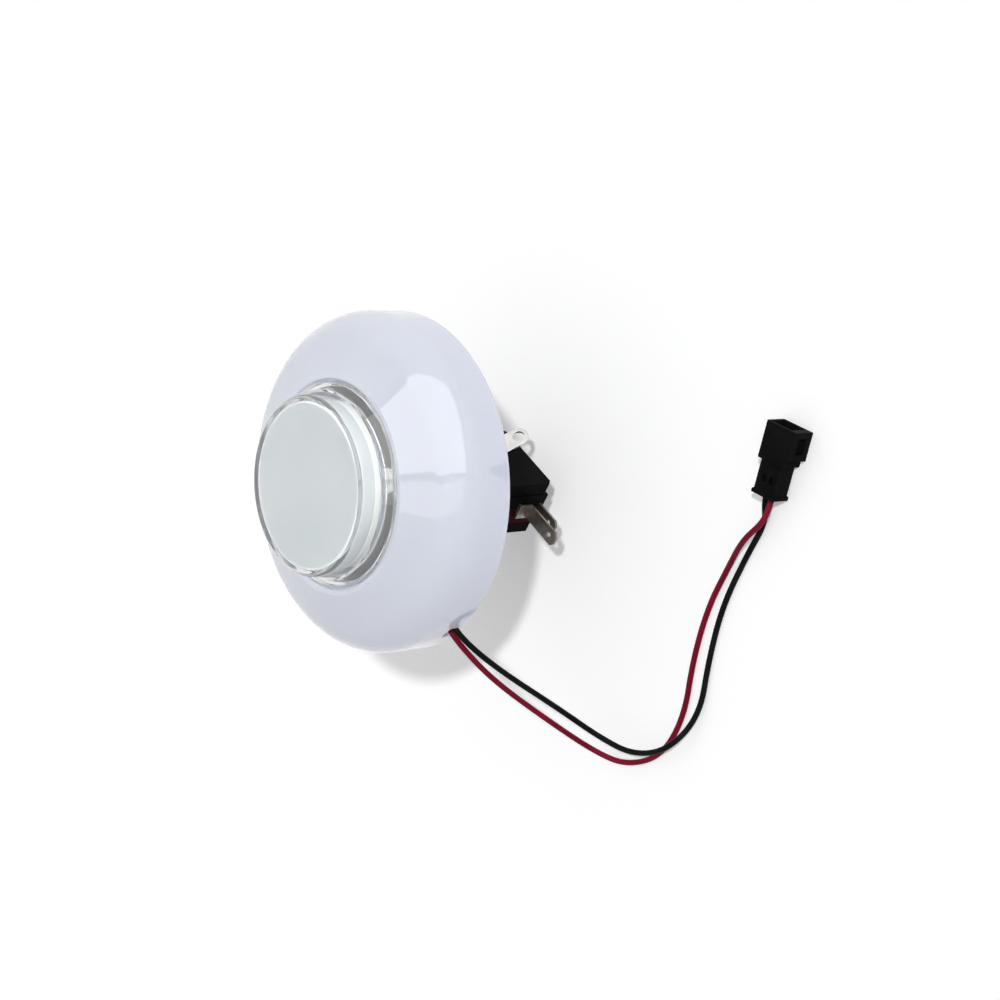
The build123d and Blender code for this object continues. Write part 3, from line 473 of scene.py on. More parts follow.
def make_worked_metal():
    """Group for plated or drawn metal: Lines is noise drawn out along one way, Stain a slow mask,
    and Roughness is Gloss plus Spread times Stain."""
    values = {"Fine": 5000.0, "Slow": 200.0, "Gloss": 0.25, "Spread": 0.15, "Draw": (1.0, 1.0, 1.0)}
    group, start, end = new_group("worked_metal", values, ["Lines", "Stain", "Roughness"])
    nodes, links = group.nodes, group.links
    place = nodes.new("ShaderNodeTexCoord")
    drawn = nodes.new("ShaderNodeVectorMath")
    drawn.operation = "MULTIPLY"
    links.new(place.outputs["Object"], drawn.inputs[0])
    links.new(start.outputs["Draw"], drawn.inputs[1])
    fine = nodes.new("ShaderNodeTexNoise")
    fine.inputs["Detail"].default_value = 2.0
    links.new(drawn.outputs["Vector"], fine.inputs["Vector"])
    links.new(start.outputs["Fine"], fine.inputs["Scale"])
    slow = nodes.new("ShaderNodeTexNoise")
    slow.inputs["Detail"].default_value = 5.0
    links.new(place.outputs["Object"], slow.inputs["Vector"])
    links.new(start.outputs["Slow"], slow.inputs["Scale"])
    blotch = nodes.new("ShaderNodeMapRange")
    blotch.inputs["From Min"].default_value = 0.35
    blotch.inputs["From Max"].default_value = 0.65
    links.new(slow.outputs["Fac"], blotch.inputs["Value"])
    swing = math_node(nodes, links, "MULTIPLY", blotch.outputs["Result"], start.outputs["Spread"])
    rough = math_node(nodes, links, "ADD", swing, start.outputs["Gloss"])
    links.new(fine.outputs["Fac"], end.inputs["Lines"])
    links.new(blotch.outputs["Result"], end.inputs["Stain"])
    links.new(rough, end.inputs["Roughness"])
    return group


worked_metal = make_worked_metal()


def metal(name, bright, stained, surface_values, bump):
    """Metal finish whose colour goes from bright to stained, with drawn lines in its surface."""
    material = bpy.data.materials.new(name)
    material.use_nodes = True
    nodes, links = material.node_tree.nodes, material.node_tree.links
    shader = nodes["Principled BSDF"]
    shader.inputs["Metallic"].default_value = 1.0
    surface = nodes.new("ShaderNodeGroup")
    surface.node_tree = worked_metal
    for label, value in surface_values.items():
        surface.inputs[label].default_value = value
    colour = mixed_colour(nodes, links, surface.outputs["Stain"], bright, stained)
    links.new(colour, shader.inputs["Base Color"])
    links.new(surface.outputs["Roughness"], shader.inputs["Roughness"])
    raise_surface(nodes, links, surface.outputs["Lines"], bump)
    return material


plated_steel = metal(
    "plated_steel",
    bright=(0.62, 0.62, 0.64),
    stained=(0.50, 0.50, 0.51),
    surface_values={"Fine": 4000.0, "Slow": 500.0, "Gloss": 0.2, "Spread": 0.12, "Draw": (1.0, 1.0, 6.0)},
    bump=0.1,
)
solder = metal(
    "solder",
    bright=(0.72, 0.72, 0.73),
    stained=(0.55, 0.55, 0.56),
    surface_values={"Fine": 1500.0, "Slow": 900.0, "Gloss": 0.16, "Spread": 0.25, "Draw": (1.0, 1.0, 1.0)},
    bump=0.4,
)
dress("board_screws", plated_steel)
dress("solder_joints", solder)


# Button body: the clear moulding with the ring that lies on the dome, the well that the
# plunger runs in, a guide hub and the hollow stem. The stem's rear half is threaded for the
# lock nut and has two twist-lock slots in its end.
WELL_R = 26.5
WELL_OUT_R = 28.0
RING_R = 30.0
RING_EDGE_Z = SEAT_Z + 1.6
RING_TOP_Z = RING_EDGE_Z + 2.2
RING_TOP_W = 0.9
WELL_FLOOR_Z = 14.6
WELL_BOTTOM_Z = 12.6
HUB_OUT_R = 11.6
HUB_TOP_Z = WELL_FLOOR_Z + 4.0
GUIDE_R = 9.4
GUIDE_END_Z = 8.6
STEM_R = 14.0
STEM_BORE_R = 12.0
THREAD_ROOT_R = 13.6
SHANK_END_Z = -5.0
STEM_END_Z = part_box("button_body")[0].z / MM
THREAD_PITCH = 2.0
THREAD_TOP_Z = -5.3
THREAD_END_Z = -17.6
THREAD_ROWS = 72
REAR_TURN = math.radians(-42.0)
SLOT_OUT_R = 15.0
SLOT_IN_R = 11.7
SLOT_TOP_Z = -18.55
SLOT_FOOT_Z = -21.25
SLOT_ENTRY = (55.2, 76.8)
SLOT_RUN = (66.0, 100.8)
SLOT_OPEN = 1.0           # the slots' mouths past the stem's end
CLEAR_PALE = (0.975, 0.985, 0.985)
CLEAR_SHADE = (0.93, 0.945, 0.94)     # what a shadow keeps of the light


def soft_outline(corners, steps=5):
    """Closed outline through corners (r, z, radius): an arc tangent to both sides replaces each corner.

    With half the angle between the sides, the arc starts radius / tan(half) from the corner, and
    its middle lies radius / sin(half) along the bisector. A radius of 0 keeps the corner's point.
    """
    places = np.array([corner[:2] for corner in corners], float)
    rows = []
    for place, before, after, corner in zip(places, np.roll(places, 1, 0), np.roll(places, -1, 0), corners):
        radius = corner[2]
        if radius == 0:
            rows.append(place[None])
            continue
        back = (before - place) / np.linalg.norm(before - place)
        ahead = (after - place) / np.linalg.norm(after - place)
        half = math.acos(back @ ahead) / 2
        bisector = (back + ahead) / np.linalg.norm(back + ahead)
        across = (back - ahead) / np.linalg.norm(back - ahead)
        sweep = np.linspace(half - np.pi / 2, np.pi / 2 - half, steps + 1)[:, None]
        middle = place + bisector * radius / math.sin(half)
        rows.append(middle - radius * (bisector * np.cos(sweep) + across * np.sin(sweep)))
    return np.vstack(rows)


def sector(first, last, inner_r, outer_r, low_z, high_z):
    """Block of a ring between two turns in degrees: a rectangle carried round the axis in eleven
    steps, closed at both ends."""
    turns = np.radians(np.linspace(first, last, 12))
    section = np.array([(inner_r, low_z), (outer_r, low_z), (outer_r, high_z), (inner_r, high_z)])
    points = turned(section, turns)
    middle = points.mean(axis=0, keepdims=True)
    ends = np.repeat(middle, len(points), axis=0)
    return closed_form(np.concatenate([ends[:, :1], points, ends[:, -1:]], axis=1), True, False)


def cut(thing, cutters):
    """Thing with other closed forms cut out of it."""
    for cutter in cutters:
        cutter_mesh = bpy.data.meshes.new("cutter")
        cutter_mesh.from_pydata((cutter[0] * MM).tolist(), [], cutter[1].tolist())
        build = bmesh.new()
        build.from_mesh(cutter_mesh)
        bmesh.ops.remove_doubles(build, verts=build.verts, dist=1e-7)
        build.to_mesh(cutter_mesh)
        build.free()
        tool = bpy.data.objects.new("cutter", cutter_mesh)
        bpy.context.scene.collection.objects.link(tool)
        step = thing.modifiers.new("cut", "BOOLEAN")
        step.operation = "DIFFERENCE"
        step.solver = "EXACT"
        step.object = tool
        bpy.context.view_layer.update()
        shaped = thing.evaluated_get(bpy.context.evaluated_depsgraph_get())
        result = bpy.data.meshes.new_from_object(shaped)
        thing.modifiers.remove(step)
        bpy.data.objects.remove(tool)
        thing.data = result
    return thing


def thread_ridge(points):
    """Triangular ridge on the stem: it stands out by depth (1 - |2 f - 1|), where f is the fraction
    of a turn z / pitch - t / 2 pi, and runs out over one pitch at both ends."""
    x, y, z = np.moveaxis(points, -1, 0)
    radius = np.hypot(x, y)
    turn = np.arctan2(y, x)
    phase = (z / THREAD_PITCH - turn / (2 * np.pi)) % 1.0
    fade = np.clip(np.minimum(z - THREAD_END_Z, THREAD_TOP_Z - z) / THREAD_PITCH, 0, 1)
    on_thread = (np.abs(radius - THREAD_ROOT_R) < 1e-6) & (fade > 0)
    depth = (STEM_R - THREAD_ROOT_R) * (1 - np.abs(2 * phase - 1)) * fade
    scale = np.where(on_thread, 1 + depth / np.maximum(radius, 1e-6), 1.0)
    return np.stack([x * scale, y * scale, z], -1)


def body_form():
    """Turned section of ring, well, hub and stem, each corner with its radius, and the thread raised
    on the stem."""
    thread = [(THREAD_ROOT_R, z, 0) for z in np.linspace(THREAD_END_Z, THREAD_TOP_Z, THREAD_ROWS)]
    stem = [(STEM_BORE_R, STEM_END_Z, 0.25), (THREAD_ROOT_R, STEM_END_Z, 0.3)] + thread
    shank = [(THREAD_ROOT_R, SHANK_END_Z, 0.05), (STEM_R, SHANK_END_Z, 0.15), (STEM_R, WELL_BOTTOM_Z, 0.5)]
    well = [(WELL_OUT_R, WELL_BOTTOM_Z, 0.6), (WELL_OUT_R, SEAT_Z, 0.1)]
    ring = [(RING_R, SEAT_Z, 0.15), (RING_R, RING_EDGE_Z, 0.5), (WELL_R + RING_TOP_W, RING_TOP_Z, 0.35)]
    inside = [(WELL_R, RING_TOP_Z, 0.3), (WELL_R, WELL_FLOOR_Z, 0.5), (HUB_OUT_R, WELL_FLOOR_Z, 0.3)]
    hub = [(HUB_OUT_R, HUB_TOP_Z, 0.3), (GUIDE_R, HUB_TOP_Z, 0.3)]
    web = [(GUIDE_R, GUIDE_END_Z, 0.3), (STEM_BORE_R, GUIDE_END_Z, 0.3)]
    outline = guarded(soft_outline(stem + shank + well + ring + inside + hub + web))
    return closed_form(thread_ridge(turned(outline, even_turns(ROUND))))


def clear_finish(name, tint, gloss):
    """Clear plastic: it bends light like acrylic, its gloss and faint flow lines come from the moulded
    skin, and lamp light passes straight through to what is behind."""
    material = moulded(
        name,
        deep=tint,
        pale=CLEAR_PALE,
        skin={"Grain": 260.0, "Slow": 40.0, "Gloss": gloss, "Spread": 0.02},
        bump=0.01,
        plain={"IOR": 1.49, "Transmission Weight": 0.93},
    )
    nodes, links = material.node_tree.nodes, material.node_tree.links
    rays = nodes.new("ShaderNodeLightPath")
    through = nodes.new("ShaderNodeBsdfTransparent")
    through.inputs["Color"].default_value = (*CLEAR_SHADE, 1.0)
    choice = nodes.new("ShaderNodeMixShader")
    links.new(rays.outputs["Is Shadow Ray"], choice.inputs["Fac"])
    links.new(nodes["Principled BSDF"].outputs["BSDF"], choice.inputs[1])
    links.new(through.outputs["BSDF"], choice.inputs[2])
    links.new(choice.outputs["Shader"], nodes["Material Output"].inputs["Surface"])
    return material


clear_plastic = clear_finish("clear_plastic", (0.95, 0.965, 0.965), 0.025)
button_body = piece(
    "button_body_clear", body_form(), "housing", clear_plastic, ["button_body"]
)


def slot_pair(turns, low_z, high_z):
    """Blocks for the two opposite twist-lock slots of the stem."""
    block = sector(*turns, SLOT_IN_R, SLOT_OUT_R, low_z, high_z)
    return together([moved(block, REAR_TURN), moved(block, REAR_TURN + np.pi)])


slot_entries = slot_pair(SLOT_ENTRY, STEM_END_Z - SLOT_OPEN, SLOT_TOP_Z)
slot_runs = slot_pair(SLOT_RUN, SLOT_FOOT_Z, SLOT_TOP_Z)
cut(button_body, [slot_entries, slot_runs])


# Return spring: a coil of plated steel wire between the well's floor and the carrier, with its
# end turns drawn together.
SPRING_TURNS = 5
SPRING_R = 12.7
SPRING_WIRE_R = 0.5
SPRING_LOW_Z = WELL_FLOOR_Z + 0.55
SPRING_HIGH_Z = 25.45
END_CLOSING = 0.6         # how far the end turns are drawn together


def tube(path, radius, sides):
    """Round tube: a circle of a radius carried along a path, square to it, with both ends closed."""
    along = np.gradient(path, axis=0)
    along /= np.linalg.norm(along, axis=1, keepdims=True)
    out = path * (1.0, 1.0, 0.0)
    out -= along * (out * along).sum(1, keepdims=True)
    out /= np.linalg.norm(out, axis=1, keepdims=True)
    side = np.cross(along, out)
    a = even_turns(sides)[None, :, None]
    rings = path[:, None] + radius * (out[:, None] * np.cos(a) + side[:, None] * np.sin(a))
    ends = np.repeat(path[[0, -1], None], sides, axis=1)
    return closed_form(np.concatenate([ends[:1], rings, ends[1:]]), False, True)


def spring_form():
    """Coil (R cos a, R sin a, z): z climbs evenly but for a sine that slows it towards both ends."""
    t = np.linspace(0, 1, 48 * SPRING_TURNS + 1)
    a = 2 * np.pi * SPRING_TURNS * t
    climb = t - END_CLOSING * np.sin(2 * np.pi * t) / (2 * np.pi)
    z = SPRING_LOW_Z + (SPRING_HIGH_Z - SPRING_LOW_Z) * climb
    return tube(np.stack([SPRING_R * np.cos(a), SPRING_R * np.sin(a), z], 1), SPRING_WIRE_R, 14)


spring_wire = metal(
    "spring_wire",
    bright=(0.60, 0.60, 0.62),
    stained=(0.46, 0.46, 0.48),
    surface_values={"Fine": 3500.0, "Slow": 260.0, "Gloss": 0.22, "Spread": 0.15, "Draw": (1.0, 1.0, 8.0)},
    bump=0.12,
)
spring = piece("return_coil", spring_form(), "housing", spring_wire, ["return_spring"])
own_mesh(spring)


# Plunger: a clear cap with a low crown, a frosted white diffuser cup behind its front, and the
# white carrier that closes the cap, runs in the guide hub and reaches down to the switch.
PLUNGER_R = 26.0
CAP_BORE_R = 24.2
CAP_BOTTOM_Z = 19.0
CAP_IN_Z = 32.4
FACE_Z = 34.4
CAP_EDGE_R = 1.2
CAP_FOOT_EDGE = 0.3
CAP_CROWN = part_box("plunger_cap")[1].z / MM - FACE_Z
CARRIER_TOP_Z = 28.0
DIFFUSER_R = 24.0
DIFFUSER_WALL = 1.4
DIFFUSER_EDGE_R = 0.5


def cap_form():
    """Turned cap: the crown is an arc of a large circle, z = face + crown (1 - (r / edge) squared)."""
    edge = PLUNGER_R - CAP_EDGE_R
    skirt = [(0, CAP_IN_Z), (CAP_BORE_R, CAP_IN_Z), (CAP_BORE_R, CAP_BOTTOM_Z)]
    foot = [(PLUNGER_R - CAP_FOOT_EDGE, CAP_BOTTOM_Z), (PLUNGER_R, CAP_BOTTOM_Z + CAP_FOOT_EDGE)]
    shoulder = arc((edge, FACE_Z - CAP_EDGE_R), CAP_EDGE_R, 0, 90, 8)
    r = np.linspace(edge, 0, 24)[1:]
    crown = np.stack([r, FACE_Z + CAP_CROWN * (1 - (r / edge) ** 2)], 1)
    outline = guarded(np.vstack([skirt, foot, shoulder, crown]), closed=False)
    return closed_form(turned(outline, even_turns(ROUND)), False, True)


def diffuser_form():
    """Turned cup, open towards the carrier, with a round front edge."""
    inner_r = DIFFUSER_R - DIFFUSER_WALL
    back_z = CAP_IN_Z - DIFFUSER_WALL
    inside = [(0, back_z), (inner_r, back_z), (inner_r, CARRIER_TOP_Z)]
    edge_middle = (DIFFUSER_R - DIFFUSER_EDGE_R, CAP_IN_Z - DIFFUSER_EDGE_R)
    front = [(DIFFUSER_R, CARRIER_TOP_Z), *arc(edge_middle, DIFFUSER_EDGE_R, 0, 90, 5), (0, CAP_IN_Z)]
    outline = guarded(np.vstack([inside, front]), closed=False)
    return closed_form(turned(outline, even_turns(ROUND)), False, True)


# The diffuser is white plastic; its mid-grey colour is painted shade, standing in for the shade on the
# cap's face.
frosted_white_painted_shade = moulded(
    "frosted_white_painted_shade",
    deep=(0.45, 0.475, 0.488),
    pale=(0.50, 0.52, 0.532),
    skin={"Grain": 2600.0, "Slow": 35.0, "Gloss": 0.55, "Spread": 0.1},
    bump=0.15,
    plain={
        "IOR": 1.45,
        "Subsurface Weight": 0.15,
        "Subsurface Radius": (1.0, 1.0, 1.0),
        "Subsurface Scale": 0.002,
    },
)
white_plastic = moulded(
    "white_plastic",
    deep=(0.70, 0.71, 0.69),
    pale=(0.77, 0.78, 0.76),
    skin={"Grain": 3200.0, "Slow": 60.0, "Gloss": 0.4, "Spread": 0.1},
    bump=0.08,
    plain={"IOR": 1.5},
)
piece("cap_clear", cap_form(), "plunger", clear_plastic, ["plunger_cap"])
piece("cap_diffuser", diffuser_form(), "plunger", frosted_white_painted_shade, ["plunger_diffuser"])
dress("plunger_carrier", white_plastic)


# Lock nut: a six-sided nut of black plastic on the stem's thread, which clamps the panel
# between itself and the dome's rim.
NUT_FRONT_Z = -6.0
NUT_REAR_Z = -14.0
NUT_FLATS = 18.0
NUT_CORNER_R = 20.78
NUT_CHAMFER = 1.2
NUT_BORE_R = 14.05
NUT_MOUTH = 0.5           # chamfer at both ends of the bore
NUT_CORNER_SHARPNESS = 70
NUT_ROUND = 288           # columns round the nut, a multiple of its sides


def nut_form():
    """Six-sided form: r = flats / (sum over the sides of cos(t - side) ** n) ** (1 / n), which rounds
    the corners, held inside a 45 degree cone at both faces."""
    sides = np.radians(np.arange(30, 390, 60))
    turns = even_turns(NUT_ROUND)
    lean = np.clip(np.cos(turns[:, None] - sides), 0, 1) ** NUT_CORNER_SHARPNESS
    hexagon = NUT_FLATS / lean.sum(1) ** (1 / NUT_CORNER_SHARPNESS)
    inset = np.linspace(0, NUT_CHAMFER, 5)
    low, high = NUT_REAR_Z + inset, NUT_FRONT_Z - inset[::-1]
    height = np.concatenate([low, high])
    limit = NUT_CORNER_R - NUT_CHAMFER + np.concatenate([inset, inset[::-1]])
    r = np.minimum(hexagon[None, :], limit[:, None])
    bore = np.array([(NUT_BORE_R, NUT_FRONT_Z - NUT_MOUTH), (NUT_BORE_R, NUT_REAR_Z + NUT_MOUTH)])
    mouth_r = np.full((1, len(turns)), NUT_BORE_R + NUT_MOUTH)
    bore_r = np.repeat(bore[:, :1], len(turns), axis=1)
    r = np.vstack([mouth_r, r, mouth_r, bore_r])
    z = np.concatenate([[NUT_REAR_Z], height, [NUT_FRONT_Z], bore[:, 1]])[:, None] + 0 * turns
    return closed_form(np.stack([r * np.cos(turns), r * np.sin(turns), z], -1))


black_plastic = moulded(
    "black_plastic",
    deep=(0.004, 0.004, 0.0045),
    pale=(0.008, 0.008, 0.0085),
    skin={"Grain": 4200.0, "Slow": 120.0, "Gloss": 0.42, "Spread": 0.14},
    bump=0.12,
    plain={"IOR": 1.2, "Specular IOR Level": 0.05},
)
piece("lock_nut_black", nut_form(), "housing", black_plastic, ["lock_nut"], sharp=25.0)


# Lamp holder: a black moulding that plugs into the stem's end and locks with a twist. It carries
# a plug-in lamp with its two tinned tabs, and two cheeks that grip the snap switch.
HOLDER_EDGE = 0.22
TAB_EDGE = 0.1
SHARP_TURN = math.radians(38.0)       # edges that turn by more get the bevel


def softened(name, node, width, body, finish):
    """Copy of a CAD node with its flat faces joined up and a narrow bevel along its edges."""
    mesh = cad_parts[node].data.copy()
    mesh.name = name
    normals = mesh.attributes.get("custom_normal")
    if normals is not None:
        mesh.attributes.remove(normals)
    build = bmesh.new()
    build.from_mesh(mesh)
    bmesh.ops.remove_doubles(build, verts=build.verts, dist=2e-6)
    flat = math.radians(0.5)
    bmesh.ops.dissolve_limit(build, angle_limit=flat, verts=build.verts, edges=build.edges)
    build.to_mesh(mesh)
    build.free()
    mesh.materials.clear()
    mesh.materials.append(finish)
    mesh.shade_smooth()
    mesh.set_sharp_from_angle(angle=SHARP_TURN)
    thing = bpy.data.objects.new(name, mesh)
    bpy.context.scene.collection.objects.link(thing)
    edges = thing.modifiers.new("edges", "BEVEL")
    edges.width = width * MM
    edges.segments = 2
    edges.limit_method = "ANGLE"
    edges.angle_limit = SHARP_TURN
    edges.use_clamp_overlap = False
    edges.harden_normals = True
    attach(thing, body)
    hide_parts(node)
    return thing


bright_tin = metal(
    "bright_tin",
    bright=(0.80, 0.79, 0.76),
    stained=(0.66, 0.65, 0.62),
    surface_values={"Fine": 2600.0, "Slow": 260.0, "Gloss": 0.16, "Spread": 0.16, "Draw": (1.0, 1.0, 0.15)},
    bump=0.1,
)
lamp_white = moulded(
    "lamp_white",
    deep=(0.60, 0.59, 0.55),
    pale=(0.68, 0.67, 0.63),
    skin={"Grain": 4000.0, "Slow": 150.0, "Gloss": 0.4, "Spread": 0.1},
    bump=0.08,
    plain={"IOR": 1.5},
)
softened("lamp_holder_black", "lamp_holder", HOLDER_EDGE, "housing", black_plastic)
softened("lamp_tab_upper", "lamp_terminal_upper", TAB_EDGE, "housing", bright_tin)
softened("lamp_tab_lower", "lamp_terminal_lower", TAB_EDGE, "housing", bright_tin)
dress("lamp_base", lamp_white)
dress("lamp_lens", clear_finish("lamp_lens_clear", (0.95, 0.95, 0.93), 0.03))


# Snap switch: a flat case in two halves, maroon and black, held on the cheeks' stubs. Its red pin
# bends a copper blade from one contact to the other, and three plated tabs stand out of it.
SWITCH_EDGE = 0.18
BLADE_ROOT_X = -5.1
BLADE_END_X = 15.0
BLADE_HALF_W = 2.0
BLADE_Z = -35.3
BLADE_T = 0.3
CONTACT_X = 14.0
CONTACT_R = 1.0
CONTACT_H = 0.5


def turned_point(x, y, z, turn):
    """Point (x, y) turned about the axis by an angle in radians, at height z."""
    return (x * math.cos(turn) - y * math.sin(turn), x * math.sin(turn) + y * math.cos(turn), z)


def blade_form():
    """Flat strip: a rectangle carried along X in short steps, closed at both ends, with a round
    contact on it."""
    x = np.linspace(BLADE_ROOT_X, BLADE_END_X, 41)
    y = np.array([-BLADE_HALF_W, BLADE_HALF_W, BLADE_HALF_W, -BLADE_HALF_W])
    z = BLADE_Z + np.array([0, 0, BLADE_T, BLADE_T])
    rings = np.stack(np.broadcast_arrays(x[:, None], y, z), -1)
    ends = np.repeat(rings[[0, -1]].mean(axis=1, keepdims=True), len(y), axis=1)
    strip = closed_form(np.concatenate([ends[:1], rings, ends[1:]]), False, True)
    low, high = BLADE_Z + BLADE_T, BLADE_Z + BLADE_T + CONTACT_H
    outline = np.array([(0, low), (CONTACT_R, low), (CONTACT_R, high), (0, high)])
    contact = closed_form(turned(guarded(outline, closed=False), even_turns(SMALL_ROUND)), False, True)
    return moved(together([strip, moved(contact, 0.0, (CONTACT_X, 0, 0))]), REAR_TURN)


maroon_plastic = moulded(
    "maroon_plastic",
    deep=(0.040, 0.004, 0.009),
    pale=(0.065, 0.007, 0.014),
    skin={"Grain": 4200.0, "Slow": 140.0, "Gloss": 0.38, "Spread": 0.12},
    bump=0.12,
    plain={"IOR": 1.2, "Specular IOR Level": 0.05},
)
red_plastic = moulded(
    "red_plastic",
    deep=(0.38, 0.02, 0.018),
    pale=(0.48, 0.03, 0.025),
    skin={"Grain": 4500.0, "Slow": 300.0, "Gloss": 0.25, "Spread": 0.1},
    bump=0.05,
    plain={"IOR": 1.5},
)
dull_tab = metal(
    "dull_tab",
    bright=(0.31, 0.28, 0.25),
    stained=(0.18, 0.16, 0.135),
    surface_values={"Fine": 2400.0, "Slow": 320.0, "Gloss": 0.32, "Spread": 0.2, "Draw": (1.0, 1.0, 0.2)},
    bump=0.15,
)
blade_copper = metal(
    "blade_copper",
    bright=(0.72, 0.42, 0.26),
    stained=(0.50, 0.27, 0.16),
    surface_values={"Fine": 3000.0, "Slow": 300.0, "Gloss": 0.25, "Spread": 0.15, "Draw": (1.0, 0.3, 1.0)},
    bump=0.1,
)
softened("switch_half_maroon", "switch_base", SWITCH_EDGE, "housing", maroon_plastic)
softened("switch_half_black", "switch_cover", SWITCH_EDGE, "housing", black_plastic)
for tab in ("common", "open", "closed"):
    softened("switch_tab_" + tab, "switch_terminal_" + tab, TAB_EDGE, "housing", dull_tab)
dress("switch_pin", red_plastic)
blade = piece("blade_copper", blade_form(), None, blade_copper, ["switch_blade"])
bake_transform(blade)


# Lead: a red and a black insulated wire from the board, out through the rim's notch, down to the
# surface behind the button and along it to the connector. Each is one round wire along a spline.
WIRE_D = 1.7
WIRE_PITCH = 2.3
WIRE_START_R = 35.175
WIRE_FLAT_R = WIRE_START_R + 4.6
WIRE_BOARD_Z = 9.05
NOTCH_IN = 1.8            # bend before the notch, inside the wall
NOTCH_IN_Z = 2.5
NOTCH_OUT = 3.2           # bend after the notch, outside the wall
NOTCH_OUT_Z = 0.5
FLOOR_Z = -53.4
LYING = FLOOR_Z + WIRE_D / 2
CONNECTOR_PLACE = (99.5, -12.6, FLOOR_Z + 3.6)
CONNECTOR_TURN = math.radians(65.0)
HOLE_PITCH = 2.5
WIRE_STRAIGHT = 1.8
WIRE_IN = 3.0
RED_ROUTE = [
    (21.2, -60.2, 0.23 * LYING),
    (19.4, -74.6, 0.64 * LYING),
    (22.0, -86.4, LYING + 2.7),
    (32.6, -90.4, LYING),
    (47.8, -87.0, LYING),
    (58.2, -75.0, LYING),
    (63.4, -58.4, LYING),
    (71.0, -43.0, LYING),
    (81.0, -31.4, LYING + 0.8),
    (90.4, -24.2, LYING + 4.7),
    (98.4, -19.8, LYING + 4.9),
]
BLACK_ROUTE = [
    (25.2, -57.6, 0.23 * LYING),
    (25.6, -70.4, 0.61 * LYING),
    (29.4, -81.2, LYING + 7.1),
    (41.0, -86.2, LYING + 5.0),
    (55.4, -84.2, LYING + 4.8),
    (65.0, -74.4, LYING + 0.6),
    (69.6, -58.4, LYING),
    (76.6, -42.8, LYING),
    (87.2, -28.8, LYING),
    (95.4, -19.8, LYING + 0.3),
]


def whole_route(side, middle):
    """Route from the solder joint through the notch, along the middle points and into the connector."""
    y = side * WIRE_PITCH / 2
    board = [(WIRE_START_R, WIRE_BOARD_Z), (WIRE_FLAT_R, WIRE_BOARD_Z)]
    notch = [(DOME_IN_R - NOTCH_IN, NOTCH_IN_Z), (DOME_R + NOTCH_OUT, NOTCH_OUT_Z)]
    points = [turned_point(radius, y, z, NOTCH_TURN) for radius, z in board + notch] + middle
    for x in (-WIRE_STRAIGHT, WIRE_IN):
        end = turned_point(x, side * HOLE_PITCH / 2, 0.0, CONNECTOR_TURN)
        points.append(tuple(np.add(end, CONNECTOR_PLACE)))
    return points


def insulated_wire(name, route, finish, node):
    """Round wire on a smooth spline with the route's points as its control points."""
    curve = bpy.data.curves.new(name, "CURVE")
    curve.dimensions = "3D"
    curve.bevel_depth = WIRE_D / 2 * MM
    curve.bevel_resolution = 6
    curve.use_fill_caps = True
    curve.resolution_u = 24
    spline = curve.splines.new("NURBS")
    spline.points.add(len(route) - 1)
    weighted = np.hstack([np.array(route) * MM, np.ones((len(route), 1))])
    spline.points.foreach_set("co", weighted.ravel())
    spline.order_u = 3
    spline.use_endpoint_u = True
    curve.materials.append(finish)
    wire = bpy.data.objects.new(name, curve)
    bpy.context.scene.collection.objects.link(wire)
    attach(wire, "housing")
    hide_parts(node)
    return wire


red_insulation = moulded(
    "red_insulation",
    deep=(0.15, 0.003, 0.017),
    pale=(0.22, 0.006, 0.026),
    skin={"Grain": 2400.0, "Slow": 120.0, "Gloss": 0.32, "Spread": 0.12},
    bump=0.08,
    plain={"IOR": 1.3, "Specular IOR Level": 0.15},
)
black_insulation = moulded(
    "black_insulation",
    deep=(0.004, 0.004, 0.0045),
    pale=(0.010, 0.010, 0.0105),
    skin={"Grain": 2400.0, "Slow": 120.0, "Gloss": 0.32, "Spread": 0.12},
    bump=0.08,
    plain={"IOR": 1.25, "Specular IOR Level": 0.1},
)
red_points = whole_route(-1, RED_ROUTE)
black_points = whole_route(1, BLACK_ROUTE)
red_wire = insulated_wire("wire_red", red_points, red_insulation, "lead_wire_red")
black_wire = insulated_wire("wire_black", black_points, black_insulation, "lead_wire_black")


# Connector: a black two-way housing on the wires' ends, with a hood round its tinned contact pins,
# a latch loop on one side and lips round its rear.
CONNECTOR_EDGE = 0.25
connector_plastic = moulded(
    "connector_plastic",
    deep=(0.004, 0.004, 0.0045),
    pale=(0.009, 0.009, 0.0095),
    skin={"Grain": 4200.0, "Slow": 140.0, "Gloss": 0.38, "Spread": 0.14},
    bump=0.12,
    plain={"IOR": 1.2, "Specular IOR Level": 0.05},
)
connector = softened(
    "connector_black",
    "connector_housing",
    CONNECTOR_EDGE,
    "housing",
    connector_plastic,
)
dress("connector_contacts", bright_tin)


# Studio: a white floor that the lead lies on, a pale surround, a far lamp by the camera that casts
# the shadow, and a large softbox with a narrower one under it, which show in the dome's gloss.
CAMERA_PLACE = (465.194, -8.117, 365.251)
CAMERA_RIGHT = np.array([0.653755, -0.075329, -0.752948])
CAMERA_UP = np.array([0.049387, 0.997159, -0.056880])
CAMERA_BACK = np.array([0.755093, 0.0, 0.655617])
LENS = 72.0
FLOOR_HALF = 6000.0
PAPER = (0.90, 0.90, 0.905)
PAPER_GLOW = 0.225        # light of the floor's own that takes it to plain white
KEY_SIDE = (-0.13, 0.18, 0.975)       # right, up and towards the camera
KEY_STRENGTH = 0.57
KEY_SPREAD = 3.5
SURROUND_SIDE = (-0.86, 0.3, 0.41)
SURROUND_LEVEL = 0.28
SURROUND_SWING = 0.30
WHITE = (1.0, 1.0, 1.0, 1.0)


